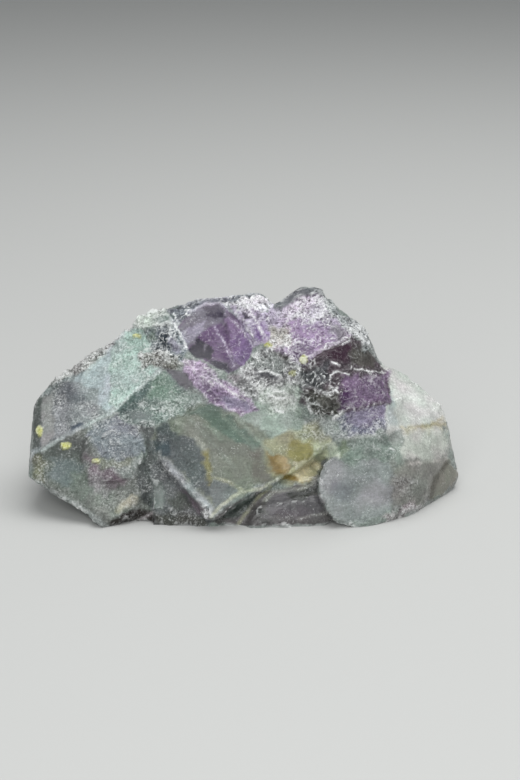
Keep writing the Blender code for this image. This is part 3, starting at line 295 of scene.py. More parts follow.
# Lines of the front, which lie over its patches: colour, width in millimetres, strength, how
# frosted it is (both from 0 to 1), and its points. They are ridges, seams, cracks and scuffs.
LINES = {
    "bar": ("#b0b6b8", 1, 1, 0.1, [(-22, -16.5), (-16.5, -22.5), (-11.5, -27.5)]),
    "slab_ridge": ("#c9d3d0", 0.5, 0.8, 0.35, [(-50.5, -14), (-46.5, -11.5), (-38, -7), (-33.5, -4.5),
        (-30, -1), (-23, 4.5)]),
    "slab_second": ("#c9d1cf", 0.45, 0.6, 0.2, [(-40.5, 3.5), (-38, 6.5), (-34.5, 10), (-31.5, 13)]),
    "rim_one": ("#b7b9b8", 0.4, 0.8, 0.5, [(-46, 3.5), (-40, 8), (-34.5, 12.5)]),
    "rim_two": ("#aaaba9", 0.35, 0.75, 0.5, [(-49.5, 1), (-44, 5.5), (-36.5, 11), (-31.5, 14.5)]),
    "rim_dark": ("#5a5855", 0.4, 0.7, 0, [(-47.5, 2), (-41.5, 6.5), (-36, 10.5)]),
    "slab_dark_line": ("#5c5a58", 0.4, 0.6, 0, [(-39, 7.5), (-36, 9.5), (-33.5, 12)]),
    "point_right_arm": ("#c6c9b2", 0.5, 0.8, 0.25, [(-11.5, -29.5), (-8, -26), (-4.5, -23.5), (0, -23),
        (5, -20)]),
    "second_arm": ("#adaf8f", 0.5, 0.7, 0.2, [(-5, -31), (-2.5, -27.5), (-0.5, -25), (2.5, -22.5)]),
    "plate_top": ("#acaca2", 0.5, 0.7, 0.4, [(1, -25.5), (3, -23.5), (9.5, -23), (12, -22),
        (13.5, -19)]),
    "big_face_line": ("#bcbf9b", 0.5, 0.7, 0.5, [(-11, -20.5), (-8, -21), (-4.5, -23)]),
    "big_face_inner": ("#b0b5a8", 0.7, 0.6, 0.2, [(-19.5, -7), (-16, -9.5), (-12.5, -14)]),
    "big_face_trace": ("#93a193", 0.5, 0.5, 0.2, [(-9, -5.5), (-6.5, -8.5), (-3, -11.5), (-1, -14)]),
    "big_face_two": ("#98a496", 0.5, 0.5, 0.2, [(-17, -6), (-13.5, -9.5), (-9, -14.5), (-4.5, -19.5)]),
    "big_face_three": ("#9cab9d", 0.5, 0.5, 0.2, [(-6, -5.5), (-2.5, -9.5), (3, -15)]),
    "front_vein": ("#c6c8cb", 0.8, 0.45, 0.25, [(18.5, -18.5), (22, -20.5), (26, -19.5), (28.5, -22)]),
    "front_vein_two": ("#c2c4c8", 0.8, 0.4, 0.25, [(21, -26), (24.5, -24), (28, -25)]),
    "green_trace": ("#9fae9f", 0.5, 0.5, 0.2, [(-13, -8), (-11, -9), (-9, -11.5)]),
    "left_edge": ("#9ba09f", 0.4, 0.5, 0.5, [(-25, -12), (-24, -15), (-23, -16)]),
    "foot_edge": ("#b4afae", 0.4, 0.7, 0.4, [(-31, -31), (-27.5, -30), (-25, -28.5)]),
    "plate_low": ("#aaa9a5", 0.4, 0.7, 0.4, [(9, -30), (12, -29), (15.5, -28.5)]),
    "plate_scratch": ("#93918f", 0.35, 0.5, 0.2, [(1, -28), (3, -30), (4, -31)]),
    "plate_ring": ("#8f8d8e", 0.35, 0.5, 0.2, [(7, -25.5), (8.5, -28), (8.5, -30)]),
    "front_arc": ("#b0b5b4", 0.35, 0.5, 0.15, [(14.5, -16.5), (13.5, -20.5), (14, -24), (15.5, -27),
        (17.5, -29.5), (19, -30.5)]),
    "front_top": ("#c2cac3", 0.5, 0.6, 0.4, [(18, -11.5), (21.5, -11), (26.5, -10.5)]),
    "front_crease": ("#a2a5a6", 0.4, 0.5, 0.2, [(15, -22), (18.5, -21), (21.5, -20)]),
    "lobe_step": ("#d9d8cf", 0.45, 0.8, 0.3, [(35, -17), (39.5, -16.5), (43.5, -16)]),
    "tip_crease": ("#5f5e52", 0.8, 0.8, 0, [(43.5, -16.5), (40.5, -21), (39.5, -25)]),
    "lobe_ochre_line": ("#8f8350", 0.45, 0.4, 0, [(36.5, -8.5), (40, -8), (43, -8)]),
    "crack": ("#4e4943", 0.8, 0.9, 0, [(2, 9.5), (4, 8.5), (6, 7.5)]),
    "ridge": ("#d8d0da", 0.35, 0.6, 0.35, [(11.5, 8), (16, 10), (21, 12.5)]),
    "right_ledge": ("#d8d6d6", 0.3, 0.9, 0.7, [(22, 5), (24.5, 4.5), (29, 4)]),
    "scuff_one": ("#e2e2e2", 0.39, 0.9, 0.8, [(10, -1), (11.5, -3), (13.5, -3.5)]),
    "scuff_two": ("#e6e6e6", 0.52, 0.9, 0.8, [(11, -3.5), (12, -5.5)]),
    "scuff_three": ("#d5d5d6", 0.33, 0.8, 0.8, [(10, 1), (13, 0.5), (15.5, -1), (18, 0.5)]),
    "scuff_four": ("#d8d8d8", 0.33, 0.8, 0.8, [(16.5, 3.5), (18, 4.5), (20.5, 3.5)]),
    "scuff_five": ("#cfcfd0", 0.26, 0.8, 0.8, [(16.5, 3.5), (16, 1), (18, -0.5)]),
    "scuff_six": ("#e4e4e4", 0.33, 0.9, 0.8, [(16.5, 6.5), (18.5, 5.5)]),
    "scuff_seven": ("#ebebeb", 0.45, 0.9, 0.8, [(17, -6.5), (19, -5.5)]),
    "scuff_eight": ("#dcd8de", 0.33, 0.8, 0.8, [(19, 10.5), (21, 11.5)]),
    "scuff_nine": ("#d2ccd6", 0.4, 0.7, 1, [(19.5, -3.5), (21, -3)]),
    "arc_two": ("#dfe4de", 0.45, 0.9, 0.9, [(0, 1), (2.5, -1.5), (5.5, -2), (7.5, -1.5)]),
    "arc_three": ("#dfe4de", 0.4, 0.8, 0.8, [(3, 0), (5.5, -0.5), (8.5, -2.5)]),
    "arc_four": ("#dfe0e0", 0.4, 0.8, 0.8, [(-4.5, 5), (-2, 4), (2, 4.5), (5, 3)]),
    "middle_arc": ("#e4eae3", 0.5, 0.8, 1, [(0.5, -2.5), (2, -4), (5.5, -5)]),
    "hollow_line": ("#b5a4c2", 0.4, 0.9, 0.4, [(-10.5, 14.5), (-8, 10.5), (-6, 5.5)]),
    "hollow_trace": ("#a592b3", 0.35, 0.8, 0.3, [(-8.5, 16), (-6, 13), (-4.5, 10)]),
    "hollow_left_edge": ("#d4d8e0", 0.45, 0.9, 0.8, [(-17, 10), (-19, 14), (-20.5, 16.5)]),
    "hollow_rim": ("#cdc8d8", 0.4, 0.85, 0.45, [(-16.5, 18), (-12.5, 20), (-9, 20), (-5.5, 17.5),
        (-3, 13.5)]),
    "hollow_glint": ("#d3d7e0", 0.4, 0.8, 0.8, [(-19, 15.5), (-20, 18)]),
    "hollow_crack": ("#a49ead", 0.35, 0.6, 0.1, [(-13, 9), (-12.5, 10.5)]),
    "stripe_one": ("#d7cadf", 0.45, 0.9, 0.6, [(-6.5, 19.5), (-4, 16), (-1.5, 12)]),
    "stripe_two": ("#d9d1e0", 0.4, 0.9, 0.6, [(-3, 19.5), (-1, 16), (0.5, 13)]),
    "stripe_four": ("#d0c2da", 0.4, 0.85, 0.5, [(-8, 17.5), (-4.5, 14.5), (-1.5, 10)]),
    "stripe_five": ("#d4c9dc", 0.35, 0.8, 0.5, [(-5, 19), (-1, 16.5), (1.5, 12)]),
    "stripe_three": ("#8b77a0", 0.4, 0.6, 0.1, [(-5, 16.5), (-3, 13), (-2, 10.5)]),
    "band_light": ("#e0d4e0", 0.6, 0.8, 0.6, [(-17.5, 7), (-14, 3.5), (-11, 1.5)]),
    "band_edge": ("#d9d2da", 0.4, 0.7, 0.8, [(-11, 3), (-8, 0.5), (-3.5, -2.5)]),
    "skyline_edge": ("#c4c8cc", 0.35, 0.6, 0.6, [(-18.5, 20), (-13, 21), (-7.5, 22), (0.5, 22.5)]),
    "block_edge": ("#dde2db", 0.4, 0.7, 0.7, [(-29.5, 14.5), (-25.5, 14.5), (-20.5, 15)]),
    "patch_line": ("#b0b8ba", 0.35, 0.7, 0.5, [(-25, 11.5), (-23.5, 9)]),
}

# Specks of yellow clay: the middle of each, and half its width and height, in millimetres
CLAY_SPECKS = [
    ((-51, -9.5), (0.8, 1.1)),
    ((-45, -13), (1.2, 0.7)),
    ((-38, -16.5), (0.9, 0.6)),
    ((-28.5, 12.5), (0.8, 0.7)),
    ((2, 10.5), (0.8, 0.6)),
    ((10, 7), (1, 0.9)),
    ((3, 21.5), (0.6, 0.6)),
    ((7.5, 4), (0.9, 0.6)),
]

# The back is seen the same way, with the stone turned half round.
BACK_PATCHES = {
    "back_left": ("#a4b2aa", 2, 0, 0.45, 0.2, [(-46, -14), (-44, -2), (-33, 3), (-24, -4),
        (-28, -22), (-40, -24)]),
    "back_low": ("#868c88", 1.5, 0, 0.35, 0.1, [(-30, -20), (-24, -4), (-4, -2), (10, -8),
        (18, -26), (-26, -28)]),
    "back_window": ("#747a7e", 1.6, 0, 0.15, 0, [(-16, -6), (-4, -3), (6, -8), (2, -18),
        (-12, -16)]),
    "back_green": ("#8c9b91", 2, 0, 0.35, 0.1, [(8, -6), (22, -2), (34, -8), (30, -20),
        (16, -22)]),
    "back_mint": ("#b2c3ba", 2, 0, 0.5, 0.2, [(24, 2), (36, 4), (48, -6), (50, -16),
        (38, -12), (28, -4)]),
    "back_grey": ("#8a8f92", 1.8, 0, 0.35, 0, [(34, -10), (50, -12), (52, -22), (40, -26),
        (30, -20)]),
    "back_lilac": ("#a799b3", 1.5, 0, 0.45, 0.7, [(-20, 4), (-12, 16), (2, 19), (12, 14),
        (6, 6), (-8, 3)]),
    "back_purple": ("#766586", 1.5, 0, 0.15, 0.25, [(-22, 2), (-10, 4), (6, 7), (12, 2),
        (2, -3), (-14, -3)]),
    "back_violet": ("#8d789d", 1.5, 0, 0.3, 0.4, [(10, 8), (20, 12), (26, 4), (18, 0), (9, 2)]),
    "back_pale": ("#b9c0b9", 1.5, 0, 0.7, 0.6, [(14, 14), (24, 15), (32, 12), (30, 6), (20, 8)]),
    "back_stain": ("#9f9877", 2, 0, 0.3, 0, [(-26, -16), (-18, -14), (-16, -20), (-24, -24)]),
}
BACK_LINES = {
    "back_ridge": ("#c9d0cc", 0.5, 0.8, 0.7, [(-24, -4), (-4, -2), (10, -8), (18, -26)]),
    "back_ridge_two": ("#c9d0cc", 0.5, 0.7, 0.7, [(8, -6), (22, -2), (34, -8)]),
    "back_seam": ("#d3ccd8", 0.4, 0.7, 0.6, [(-22, 2), (-8, 3), (6, 7), (12, 14)]),
}

# Where nothing is drawn, the stone shows the bands that it grew in, from the foot upwards. Its
# frost lies round the plain one, and frost and scuffs wander by the same share.
GROWTH_BANDS = [
    (0.0, "#7d817c"), (9.0, "#8b908a"), (17.0, "#93a298"), (23.0, "#a9b6ad"),
    (28.0, "#8c8298"), (33.0, "#7d6f8b"), (38.0, "#a8a0b1"), (46.0, "#9ca2a3"),
]
BAND_LEAN = np.array([0.10, 0.15, 1.0])
BAND_WANDER_MM = 5.0
PLAIN_FROST = 0.4
PLAIN_WANDER = 0.8

# Three noises make all that is painted uneven: the size of their lumps in millimetres, and
# the seed of all three
WIDE_MM = 6.0
MID_MM = 3.0
FINE_MM = 1.3
PAINT_SEED = 4

# A patch reaches a little round the stone's outline, then fades
FACING_FROM = 0.45
FACING_RAMP = 0.30

# The softer a patch's border, the further it wanders, up to a softness of these millimetres.
# The slow wander is a share of the wide and mid noises, and the quick one is the fine noise.
SLOW_WANDER = 0.8
MOST_SLOW_WANDER_MM = 1.5
MOST_QUICK_WANDER_MM = 0.9

# A line wanders a little and breaks off here and there: the higher the wholeness, the less
# of it is missing. It fades out at its width times the reach.
LINE_WANDER_MM = 0.3
LINE_WHOLENESS = 0.85
LINE_REACH = 1.25

# The colour of a patch is never even: how far its lightness wanders, the share of that on
# clear crystal and what frost adds, and the two tints and what brings them on
MOTTLE = 0.18
CLEAR_MOTTLE = 0.4
FROST_MOTTLE = 0.6
GREEN_TINT = np.array([0.965, 1.02, 0.995])
VIOLET_TINT = np.array([1.02, 0.98, 1.02])
TINT_FROM_WIDE = 0.9
TINT_FROM_MID = 0.5

# Yellow clay, left in small pits: its colour, how dull and how thick it is, and how ragged
# and how steep its rim is
CLAY_COLOUR = "#d2d477"
CLAY_FROST = 0.35
CLAY_LIFT_MM = 0.35
CLAY_WANDER_MM = 0.5
CLAY_RIM = 3.0

# The flat base stays flat: nothing is raised or broken below half this height
FLAT_FOOT_MM = 0.4


def linear(hex_colour):
    """An sRGB hex colour as the linear colour that a shader takes."""
    channels = [int(hex_colour[place:place + 2], 16) / 255 for place in (1, 3, 5)]
    bent = [c / 12.92 if c <= 0.04045 else ((c + 0.055) / 1.055) ** 2.4 for c in channels]
    return (*bent, 1.0)


def turned(points, turn):
    """Points or directions of the stone after it is turned about its upright axis."""
    across = math.cos(turn) * points[:, 0] + math.sin(turn) * points[:, 1]
    away = math.cos(turn) * points[:, 1] - math.sin(turn) * points[:, 0]
    return np.stack([across, away, points[:, 2]], axis=1)


def seen(places):
    """How places in millimetres show in the front view: across and up."""
    from_aim = places - FRONT_AIM_MM
    away = from_aim[:, 1] * math.cos(FRONT_TILT) - from_aim[:, 2] * math.sin(FRONT_TILT)
    up = from_aim[:, 1] * math.sin(FRONT_TILT) + from_aim[:, 2] * math.cos(FRONT_TILT)
    nearness = FRONT_DISTANCE_MM / (FRONT_DISTANCE_MM + away)
    return np.stack([from_aim[:, 0] * nearness, up * nearness], axis=1)


def distance_to_stroke(points, start, end):
    """How far points are from a straight stroke."""
    stroke = np.array(end, float) - start
    along = np.clip((points - start) @ stroke / (stroke @ stroke), 0.0, 1.0)
    return np.linalg.norm(points - start - along[:, None] * stroke, axis=1)


def depth_inside(points, outline):
    """How far points lie inside an outline; less than 0 outside it."""
    nearest = np.full(len(points), np.inf)
    inside = np.zeros(len(points), bool)
    for start, end in zip(outline, outline[1:] + outline[:1]):
        nearest = np.minimum(nearest, distance_to_stroke(points, start, end))
        if start[1] != end[1]:
            beside = (start[1] > points[:, 1]) != (end[1] > points[:, 1])
            rise = (points[:, 1] - start[1]) / (end[1] - start[1])
            inside ^= beside & (points[:, 0] < start[0] + rise * (end[0] - start[0]))
    return np.where(inside, nearest, -nearest)


def smooth_step(value):
    """An even ramp from 0 to 1, level at both ends."""
    value = np.clip(value, 0.0, 1.0)
    return value * value * (3.0 - 2.0 * value)


def paint(mesh):
    """Writes the colour, frost, scuffs and relief of each point of the stone as attributes."""
    count = len(mesh.vertices)
    places = np.zeros(count * 3, np.float32)
    mesh.vertices.foreach_get("co", places)
    places = places.reshape(-1, 3).astype(float) / MM
    normals = np.zeros(count * 3, np.float32)
    mesh.vertex_normals.foreach_get("vector", normals)
    normals = normals.reshape(-1, 3).astype(float)
    noise.seed_set(PAINT_SEED)
    wide = np.array([noise.noise_vector(Vector(place / WIDE_MM)) for place in places])
    mid = np.array([noise.noise_vector(Vector(place / MID_MM)) for place in places])
    fine = np.array([noise.noise_vector(Vector(place / FINE_MM)) for place in places])

    # the bands that the stone grew in
    height = places @ BAND_LEAN + wide[:, 0] * BAND_WANDER_MM + fine[:, 0]
    stops = [stop for stop, band in GROWTH_BANDS]
    bands = np.array([linear(band)[:3] for stop, band in GROWTH_BANDS])
    tone = np.stack([np.interp(height, stops, bands[:, channel]) for channel in range(3)], axis=1)
    frost = np.clip(PLAIN_FROST + wide[:, 1] * PLAIN_WANDER, 0.0, 1.0)
    scuff = np.clip(wide[:, 2] * PLAIN_WANDER, 0.0, 1.0)
    lift = np.zeros(count)
    seam = np.zeros(count)

    # patches and lines, on the back and then on the front
    sides = ((math.pi, BACK_PATCHES, BACK_LINES), (0.0, PATCHES, LINES))
    for turn, patches, lines in sides:
        flat = seen(turned(places, turn))
        away = turned(normals, turn) @ (0.0, math.cos(FRONT_TILT), -math.sin(FRONT_TILT))
        facing = smooth_step((FACING_FROM - away) / FACING_RAMP)
        for colour, border, out, frosted, scuffed, outline in patches.values():
            slow = (wide[:, :2] + mid[:, :2]) * min(border, MOST_SLOW_WANDER_MM) * SLOW_WANDER
            quick = fine[:, :2] * min(border, MOST_QUICK_WANDER_MM)
            within = depth_inside(flat + slow + quick, outline)
            cover = smooth_step(within / border + 0.5) * facing
            tone += (np.array(linear(colour)[:3]) - tone) * cover[:, None]
            frost += (frosted - frost) * cover
            scuff += (scuffed - scuff) * cover
            lift += out * cover
        for colour, width, strength, frosted, points in lines.values():
            shaken = flat + fine[:, :2] * LINE_WANDER_MM
            nearest = np.full(count, np.inf)
            for start, end in zip(points, points[1:]):
                nearest = np.minimum(nearest, distance_to_stroke(shaken, start, end))
            broken = smooth_step(LINE_WHOLENESS + mid[:, 2])
            cover = smooth_step(LINE_REACH - nearest / width) * strength * broken * facing
            tone += (np.array(linear(colour)[:3]) - tone) * cover[:, None]
            seam = np.maximum(seam, cover * frosted)

    # the unevenness of every colour
    tinting = wide[:, 1] * TINT_FROM_WIDE + mid[:, 1] * TINT_FROM_MID
    tint = smooth_step(0.5 + tinting)[:, None]
    tone *= GREEN_TINT * tint + VIOLET_TINT * (1.0 - tint)
    uneven = MOTTLE * (CLEAR_MOTTLE + FROST_MOTTLE * frost) * (wide[:, 2] + mid[:, 2] + fine[:, 2])
    tone *= 1.0 + uneven[:, None]

    # clay in the pits of the front, which was the last side above, so flat and away are its own
    for centre, size in CLAY_SPECKS:
        shaken = (flat + fine[:, :2] * CLAY_WANDER_MM - centre) / size
        within = (1.0 - np.linalg.norm(shaken, axis=1)) * CLAY_RIM
        cover = smooth_step(within + 0.5) * (away < 0.0)
        tone += (np.array(linear(CLAY_COLOUR)[:3]) - tone) * cover[:, None]
        frost += (CLAY_FROST - frost) * cover
        lift += CLAY_LIFT_MM * cover

    foot = np.clip(places[:, 2] / FLAT_FOOT_MM - 0.5, 0.0, 1.0)
    rgba = np.concatenate([tone, np.ones((count, 1))], axis=1)
    written = mesh.color_attributes.new("tone", "FLOAT_COLOR", "POINT")
    written.data.foreach_set("color", rgba.astype(np.float32).ravel())
    painted = {"frost": frost, "scuff": scuff, "seam": seam, "lift": lift * MM, "foot": foot}
    for name, values in painted.items():
        written = mesh.attributes.new(name, "FLOAT", "POINT")
        written.data.foreach_set("value", values.astype(np.float32))


# Sizes of the breaks, in millimetres, how far the face of a crumb leans, and the seed
BREAK_SIZES_MM = {
    "Crumb Size": 1.9,
    "Step Height": 0.8,
    "Step Depth": 0.16,
    "Crust Depth": 0.45,
    "Chip Size": 1.3,
    "Chip Depth": 0.35,
}
BREAK_SHARES = {"Crumb Lean": 0.9, "Seed": 5.0}

# The way that the cleaved sheets face, and how they wander: waves to the metre, which makes
# one about 11 mm long, how fine they are, and how many sheets they shift
SHEET_NORMAL = Vector((0.35, 0.55, 0.76))
SHEET_WAVES = 90.0
SHEET_WAVE_DETAIL = 2.0
SHEET_WANDER = 7.0

# Crumbs and steps die out faster than the frost does
BROKEN_FALL = 1.5

# Crust crinkles like torn foil, in ridges this far apart; its depth is measured from a middle
CRUST_MM = 1.5
CRINKLES = {
    "Scale": 1.0 / (CRUST_MM * MM), "Roughness": 0.55, "Lacunarity": 2.1, "Offset": 0.9,
    "Gain": 1.6, "Distortion": 0.6,
}
CRUST_MIDDLE = 0.85

# An edge is found by how far it stands out of what lies this many points round it, in half
# grains, and this share of the edges is chipped
EDGE_REACH = 4
HALF_GRAIN = GRAIN_MM * MM * 0.5
CHIPPED_SHARE = 0.5

# A cell's random colour is a random direction once the middle grey is taken from it
MIDDLE_GREY = (0.5, 0.5, 0.5)


def node(tree, kind, inputs=(), **settings):
    """Adds a node, sets it up, and puts values or links on its sockets."""
    made = tree.nodes.new(kind)
    for name, value in settings.items():
        setattr(made, name, value)
    for socket, value in inputs.items() if isinstance(inputs, dict) else enumerate(inputs):
        if isinstance(value, bpy.types.Node):
            value = value.outputs[0]
        if isinstance(value, bpy.types.NodeSocket):
            tree.links.new(value, made.inputs[socket])
        else:
            made.inputs[socket].default_value = value
    return made


def leaning_faces(tree, place, cells):
    """Gives each cell its own lean, and each point its height on the cell's leaning face."""
    middle = cells.outputs["Position"]
    from_middle = node(tree, "ShaderNodeVectorMath", (place, middle), operation="SUBTRACT")
    own = cells.outputs["Color"]
    lean = node(tree, "ShaderNodeVectorMath", (own, MIDDLE_GREY), operation="SUBTRACT")
    height = node(tree, "ShaderNodeVectorMath", (from_middle, lean), operation="DOT_PRODUCT")
    return lean, height.outputs["Value"]


def sharpness(tree, place, normal):
    """How far each point stands out of the surface round it, in half grains."""
    round_about = node(
        tree, "GeometryNodeBlurAttribute", {"Value": place, "Iterations": EDGE_REACH},
        data_type="FLOAT_VECTOR",
    )
    apart = node(tree, "ShaderNodeVectorMath", (place, round_about), operation="SUBTRACT")
    proud = node(tree, "ShaderNodeVectorMath", (apart, normal), operation="DOT_PRODUCT")
    proud = proud.outputs["Value"]
    return node(tree, "ShaderNodeMath", (proud, HALF_GRAIN), operation="DIVIDE")


def breaking_tree():
    """Geometry Nodes that break crumbs, steps and chips into a stone, by named sizes."""
    tree = bpy.data.node_groups.new("broken_surface", "GeometryNodeTree")
    face = tree.interface
    face.new_socket("Geometry", in_out="INPUT", socket_type="NodeSocketGeometry")
    for size in (*BREAK_SIZES_MM, *BREAK_SHARES):
        face.new_socket(size, in_out="INPUT", socket_type="NodeSocketFloat")
    face.new_socket("Surface", in_out="INPUT", socket_type="NodeSocketMaterial")
    face.new_socket("Geometry", in_out="OUTPUT", socket_type="NodeSocketGeometry")
    given = node(tree, "NodeGroupInput").outputs
    place = node(tree, "GeometryNodeInputPosition")
    normal = node(tree, "GeometryNodeInputNormal")
    stored = {}
    for name in ("frost", "scuff", "lift", "foot"):
        stored[name] = node(
            tree, "GeometryNodeInputNamedAttribute", {"Name": name}, data_type="FLOAT"
        )

    # crumbs of broken crystal: each cell is a small face that leans its own way
    crumb_pitch = node(tree, "ShaderNodeMath", (1.0, given["Crumb Size"]), operation="DIVIDE")
    crumbs = node(
        tree, "ShaderNodeTexVoronoi",
        {"Vector": place, "W": given["Seed"], "Scale": crumb_pitch},
        voronoi_dimensions="4D",
    )
    _lean, height = leaning_faces(tree, place, crumbs)
    crumb = node(tree, "ShaderNodeMath", (height, given["Crumb Lean"]), operation="MULTIPLY")

    # cleavage steps: thin sheets end one after another, so the surface falls in saw teeth
    along = node(tree, "ShaderNodeVectorMath", (place, SHEET_NORMAL), operation="DOT_PRODUCT")
    sheet = node(
        tree, "ShaderNodeMath", (along.outputs["Value"], given["Step Height"]), operation="DIVIDE"
    )
    wander = node(
        tree, "ShaderNodeTexNoise",
        {"Vector": place, "W": given["Seed"], "Scale": SHEET_WAVES, "Detail": SHEET_WAVE_DETAIL},
        noise_dimensions="4D",
    )
    wandering = node(tree, "ShaderNodeMath", (wander, SHEET_WANDER, sheet), operation="MULTIPLY_ADD")
    tooth = node(tree, "ShaderNodeMath", (wandering,), operation="FRACT")
    centred = node(tree, "ShaderNodeMath", (tooth, 0.5), operation="SUBTRACT")
    step = node(tree, "ShaderNodeMath", (centred, given["Step Depth"]), operation="MULTIPLY")
    broken = node(tree, "ShaderNodeMath", (crumb, step), operation="ADD")
    rough = node(tree, "ShaderNodeMath", (stored["frost"], BROKEN_FALL), operation="POWER")
    broken = node(tree, "ShaderNodeMath", (broken, rough), operation="MULTIPLY")

    # crust that crinkles up where the stone was struck or rubbed
    crinkles = node(
        tree, "ShaderNodeTexNoise", {"Vector": place, "Detail": 3.0, **CRINKLES},
        noise_type="RIDGED_MULTIFRACTAL", normalize=True,
    )
    either_side = node(tree, "ShaderNodeMath", (crinkles, CRUST_MIDDLE), operation="SUBTRACT")
    crust = node(tree, "ShaderNodeMath", (either_side, stored["scuff"]), operation="MULTIPLY")
    broken = node(
        tree, "ShaderNodeMath", (crust, given["Crust Depth"], broken), operation="MULTIPLY_ADD"
    )
    broken = node(tree, "ShaderNodeMath", (broken, stored["lift"]), operation="ADD")

    # chips: small bites out of the sharp edges
    sharp = sharpness(tree, place, normal)
    chip_pitch = node(tree, "ShaderNodeMath", (1.0, given["Chip Size"]), operation="DIVIDE")
    bites = node(
        tree, "ShaderNodeTexVoronoi",
        {"Vector": place, "W": given["Seed"], "Scale": chip_pitch},
        voronoi_dimensions="4D",
    )
    cells = node(tree, "ShaderNodeSeparateXYZ", (bites.outputs["Color"],))
    bitten = node(tree, "ShaderNodeMath", (cells.outputs[1], CHIPPED_SHARE), operation="LESS_THAN")
    bite = node(tree, "ShaderNodeMath", (bitten, sharp), operation="MULTIPLY", use_clamp=True)
    bite = node(tree, "ShaderNodeMath", (bite, given["Chip Depth"]), operation="MULTIPLY")

    push = node(tree, "ShaderNodeMath", (broken, bite), operation="SUBTRACT")
    push = node(tree, "ShaderNodeMath", (push, stored["foot"]), operation="MULTIPLY")
    move = node(tree, "ShaderNodeVectorMath", {0: normal, "Scale": push}, operation="SCALE")
    moved = node(tree, "GeometryNodeSetPosition", {"Geometry": given["Geometry"], "Offset": move})

    # the edges that are left, for the frost and the painted highlight that lie along them
    edge = sharpness(tree, node(tree, "GeometryNodeInputPosition"), normal)
    marked = node(
        tree, "GeometryNodeStoreNamedAttribute", {"Geometry": moved, "Name": "edge", "Value": edge},
        data_type="FLOAT", domain="POINT",
    )
    real = node(tree, "GeometryNodeRealizeInstances", (marked,))
    finished = node(
        tree, "GeometryNodeSetMaterial", {"Geometry": real, "Material": given["Surface"]}
    )
    node(tree, "NodeGroupOutput", (finished,))
    return tree


# Most values of a noise lie in this span
NOISE_SPAN = (0.3, 0.7)

# What lies in the crystal, in millimetres: clouds, patches of crushed grain, traces of the
# cleavage (long one way, thin the others), small cleavage faces, and the crushed grain. Each
# depth is how much lighter or darker it makes the stone. The grain is deepest on frosted
# stone, and has a least depth on clear crystal; no pit is darker than the last value.
CLOUD_MM = 4.0
CLOUD_DEPTH = 0.20
PATCHY_MM = 4.5
TRACE_MM = (7.0, 0.45, 0.45)
TRACE_TURN = (0.0, math.radians(-40.0), math.radians(12.0))
TRACE_DEPTH = 0.14
FACET_MM = 0.8
FACET_DEPTH = 0.6
SUGAR_MM = 0.5
GRAIN_DEPTH = 4.0
LEAST_GRAIN = 0.8
DARKEST_PIT = 0.3

# Crushed white grain, whose white specks also stand in as painted glints: what the patches and
# the frost add to it, how thick it is on clear crystal and what frost adds, and its ramp. A ramp
# goes from one value of what it reads to another, and from the share that it gives at the first
# to the share at the second.
WHITE_GRAIN_AND_HIGHLIGHT_COLOUR = "#f0f2f1"
SUGAR_AND_GLINTS_FROM_PATCHES = 0.5
SUGAR_AND_GLINTS_FROM_FROST = 0.20
SUGAR_AND_GLINT_RAMP = (0.87, 1.00, 0.0, 0.75)
THIN_SUGAR_AND_GLINTS = 0.35
FROST_SUGAR_AND_GLINTS = 0.8

# White crust where the stone was rubbed, the patches that it comes in, and the painted shade in the
# hollows between its crinkles
CRUST_RAMP = (1.08, 1.32, 0.0, 1.1)
CRUST_PATCHES = (0.44, 0.54, 0.1, 1.0)
CRINKLE_SHADE_RAMP = (0.8, 0.3, 0.0, 0.5)

# White seams, which the grain crumbles, and white knocked edges, also a painted highlight, which come
# in patches
SEAM_CRUMBLE = 1.5
SEAM_RAMP = (0.25, 0.65, 0.0, 0.85)
KNOCKED_EDGE_AND_HIGHLIGHT_RAMP = (0.15, 0.6, 0.0, 0.6)
KNOCKED_EDGE_AND_HIGHLIGHT_PATCHES = (0.42, 0.60, 0.1, 1.0)

# From clear to frosted stone: how rough it is, and how much light goes through it
ROUGHNESS_RAMP = (0.0, 1.0, 0.2, 0.6)
CLEARNESS_RAMP = (0.0, 0.9, 0.5, 0.05)

# The fine relief: the facets' share in it, how strong it is on clear crystal and what frost
# adds, how far white grain stands up, and the height of it all
FACET_HEIGHT = 1.6
CLEAR_RELIEF = 0.04
FROST_RELIEF = 0.55
WHITE_HEIGHT = 0.3
RELIEF_STRENGTH = 0.7
RELIEF_MM = 0.4

# Fluorite bends light little. Its mirror gloss is low on these worn faces, and its greenish
# grey depth takes about a third of the light over a finger's width.
FLUORITE_IOR = 1.434
WORN_GLOSS = 0.25
DEPTH_COLOUR = "#9aa39f"
DEPTH_DENSITY = 45.0


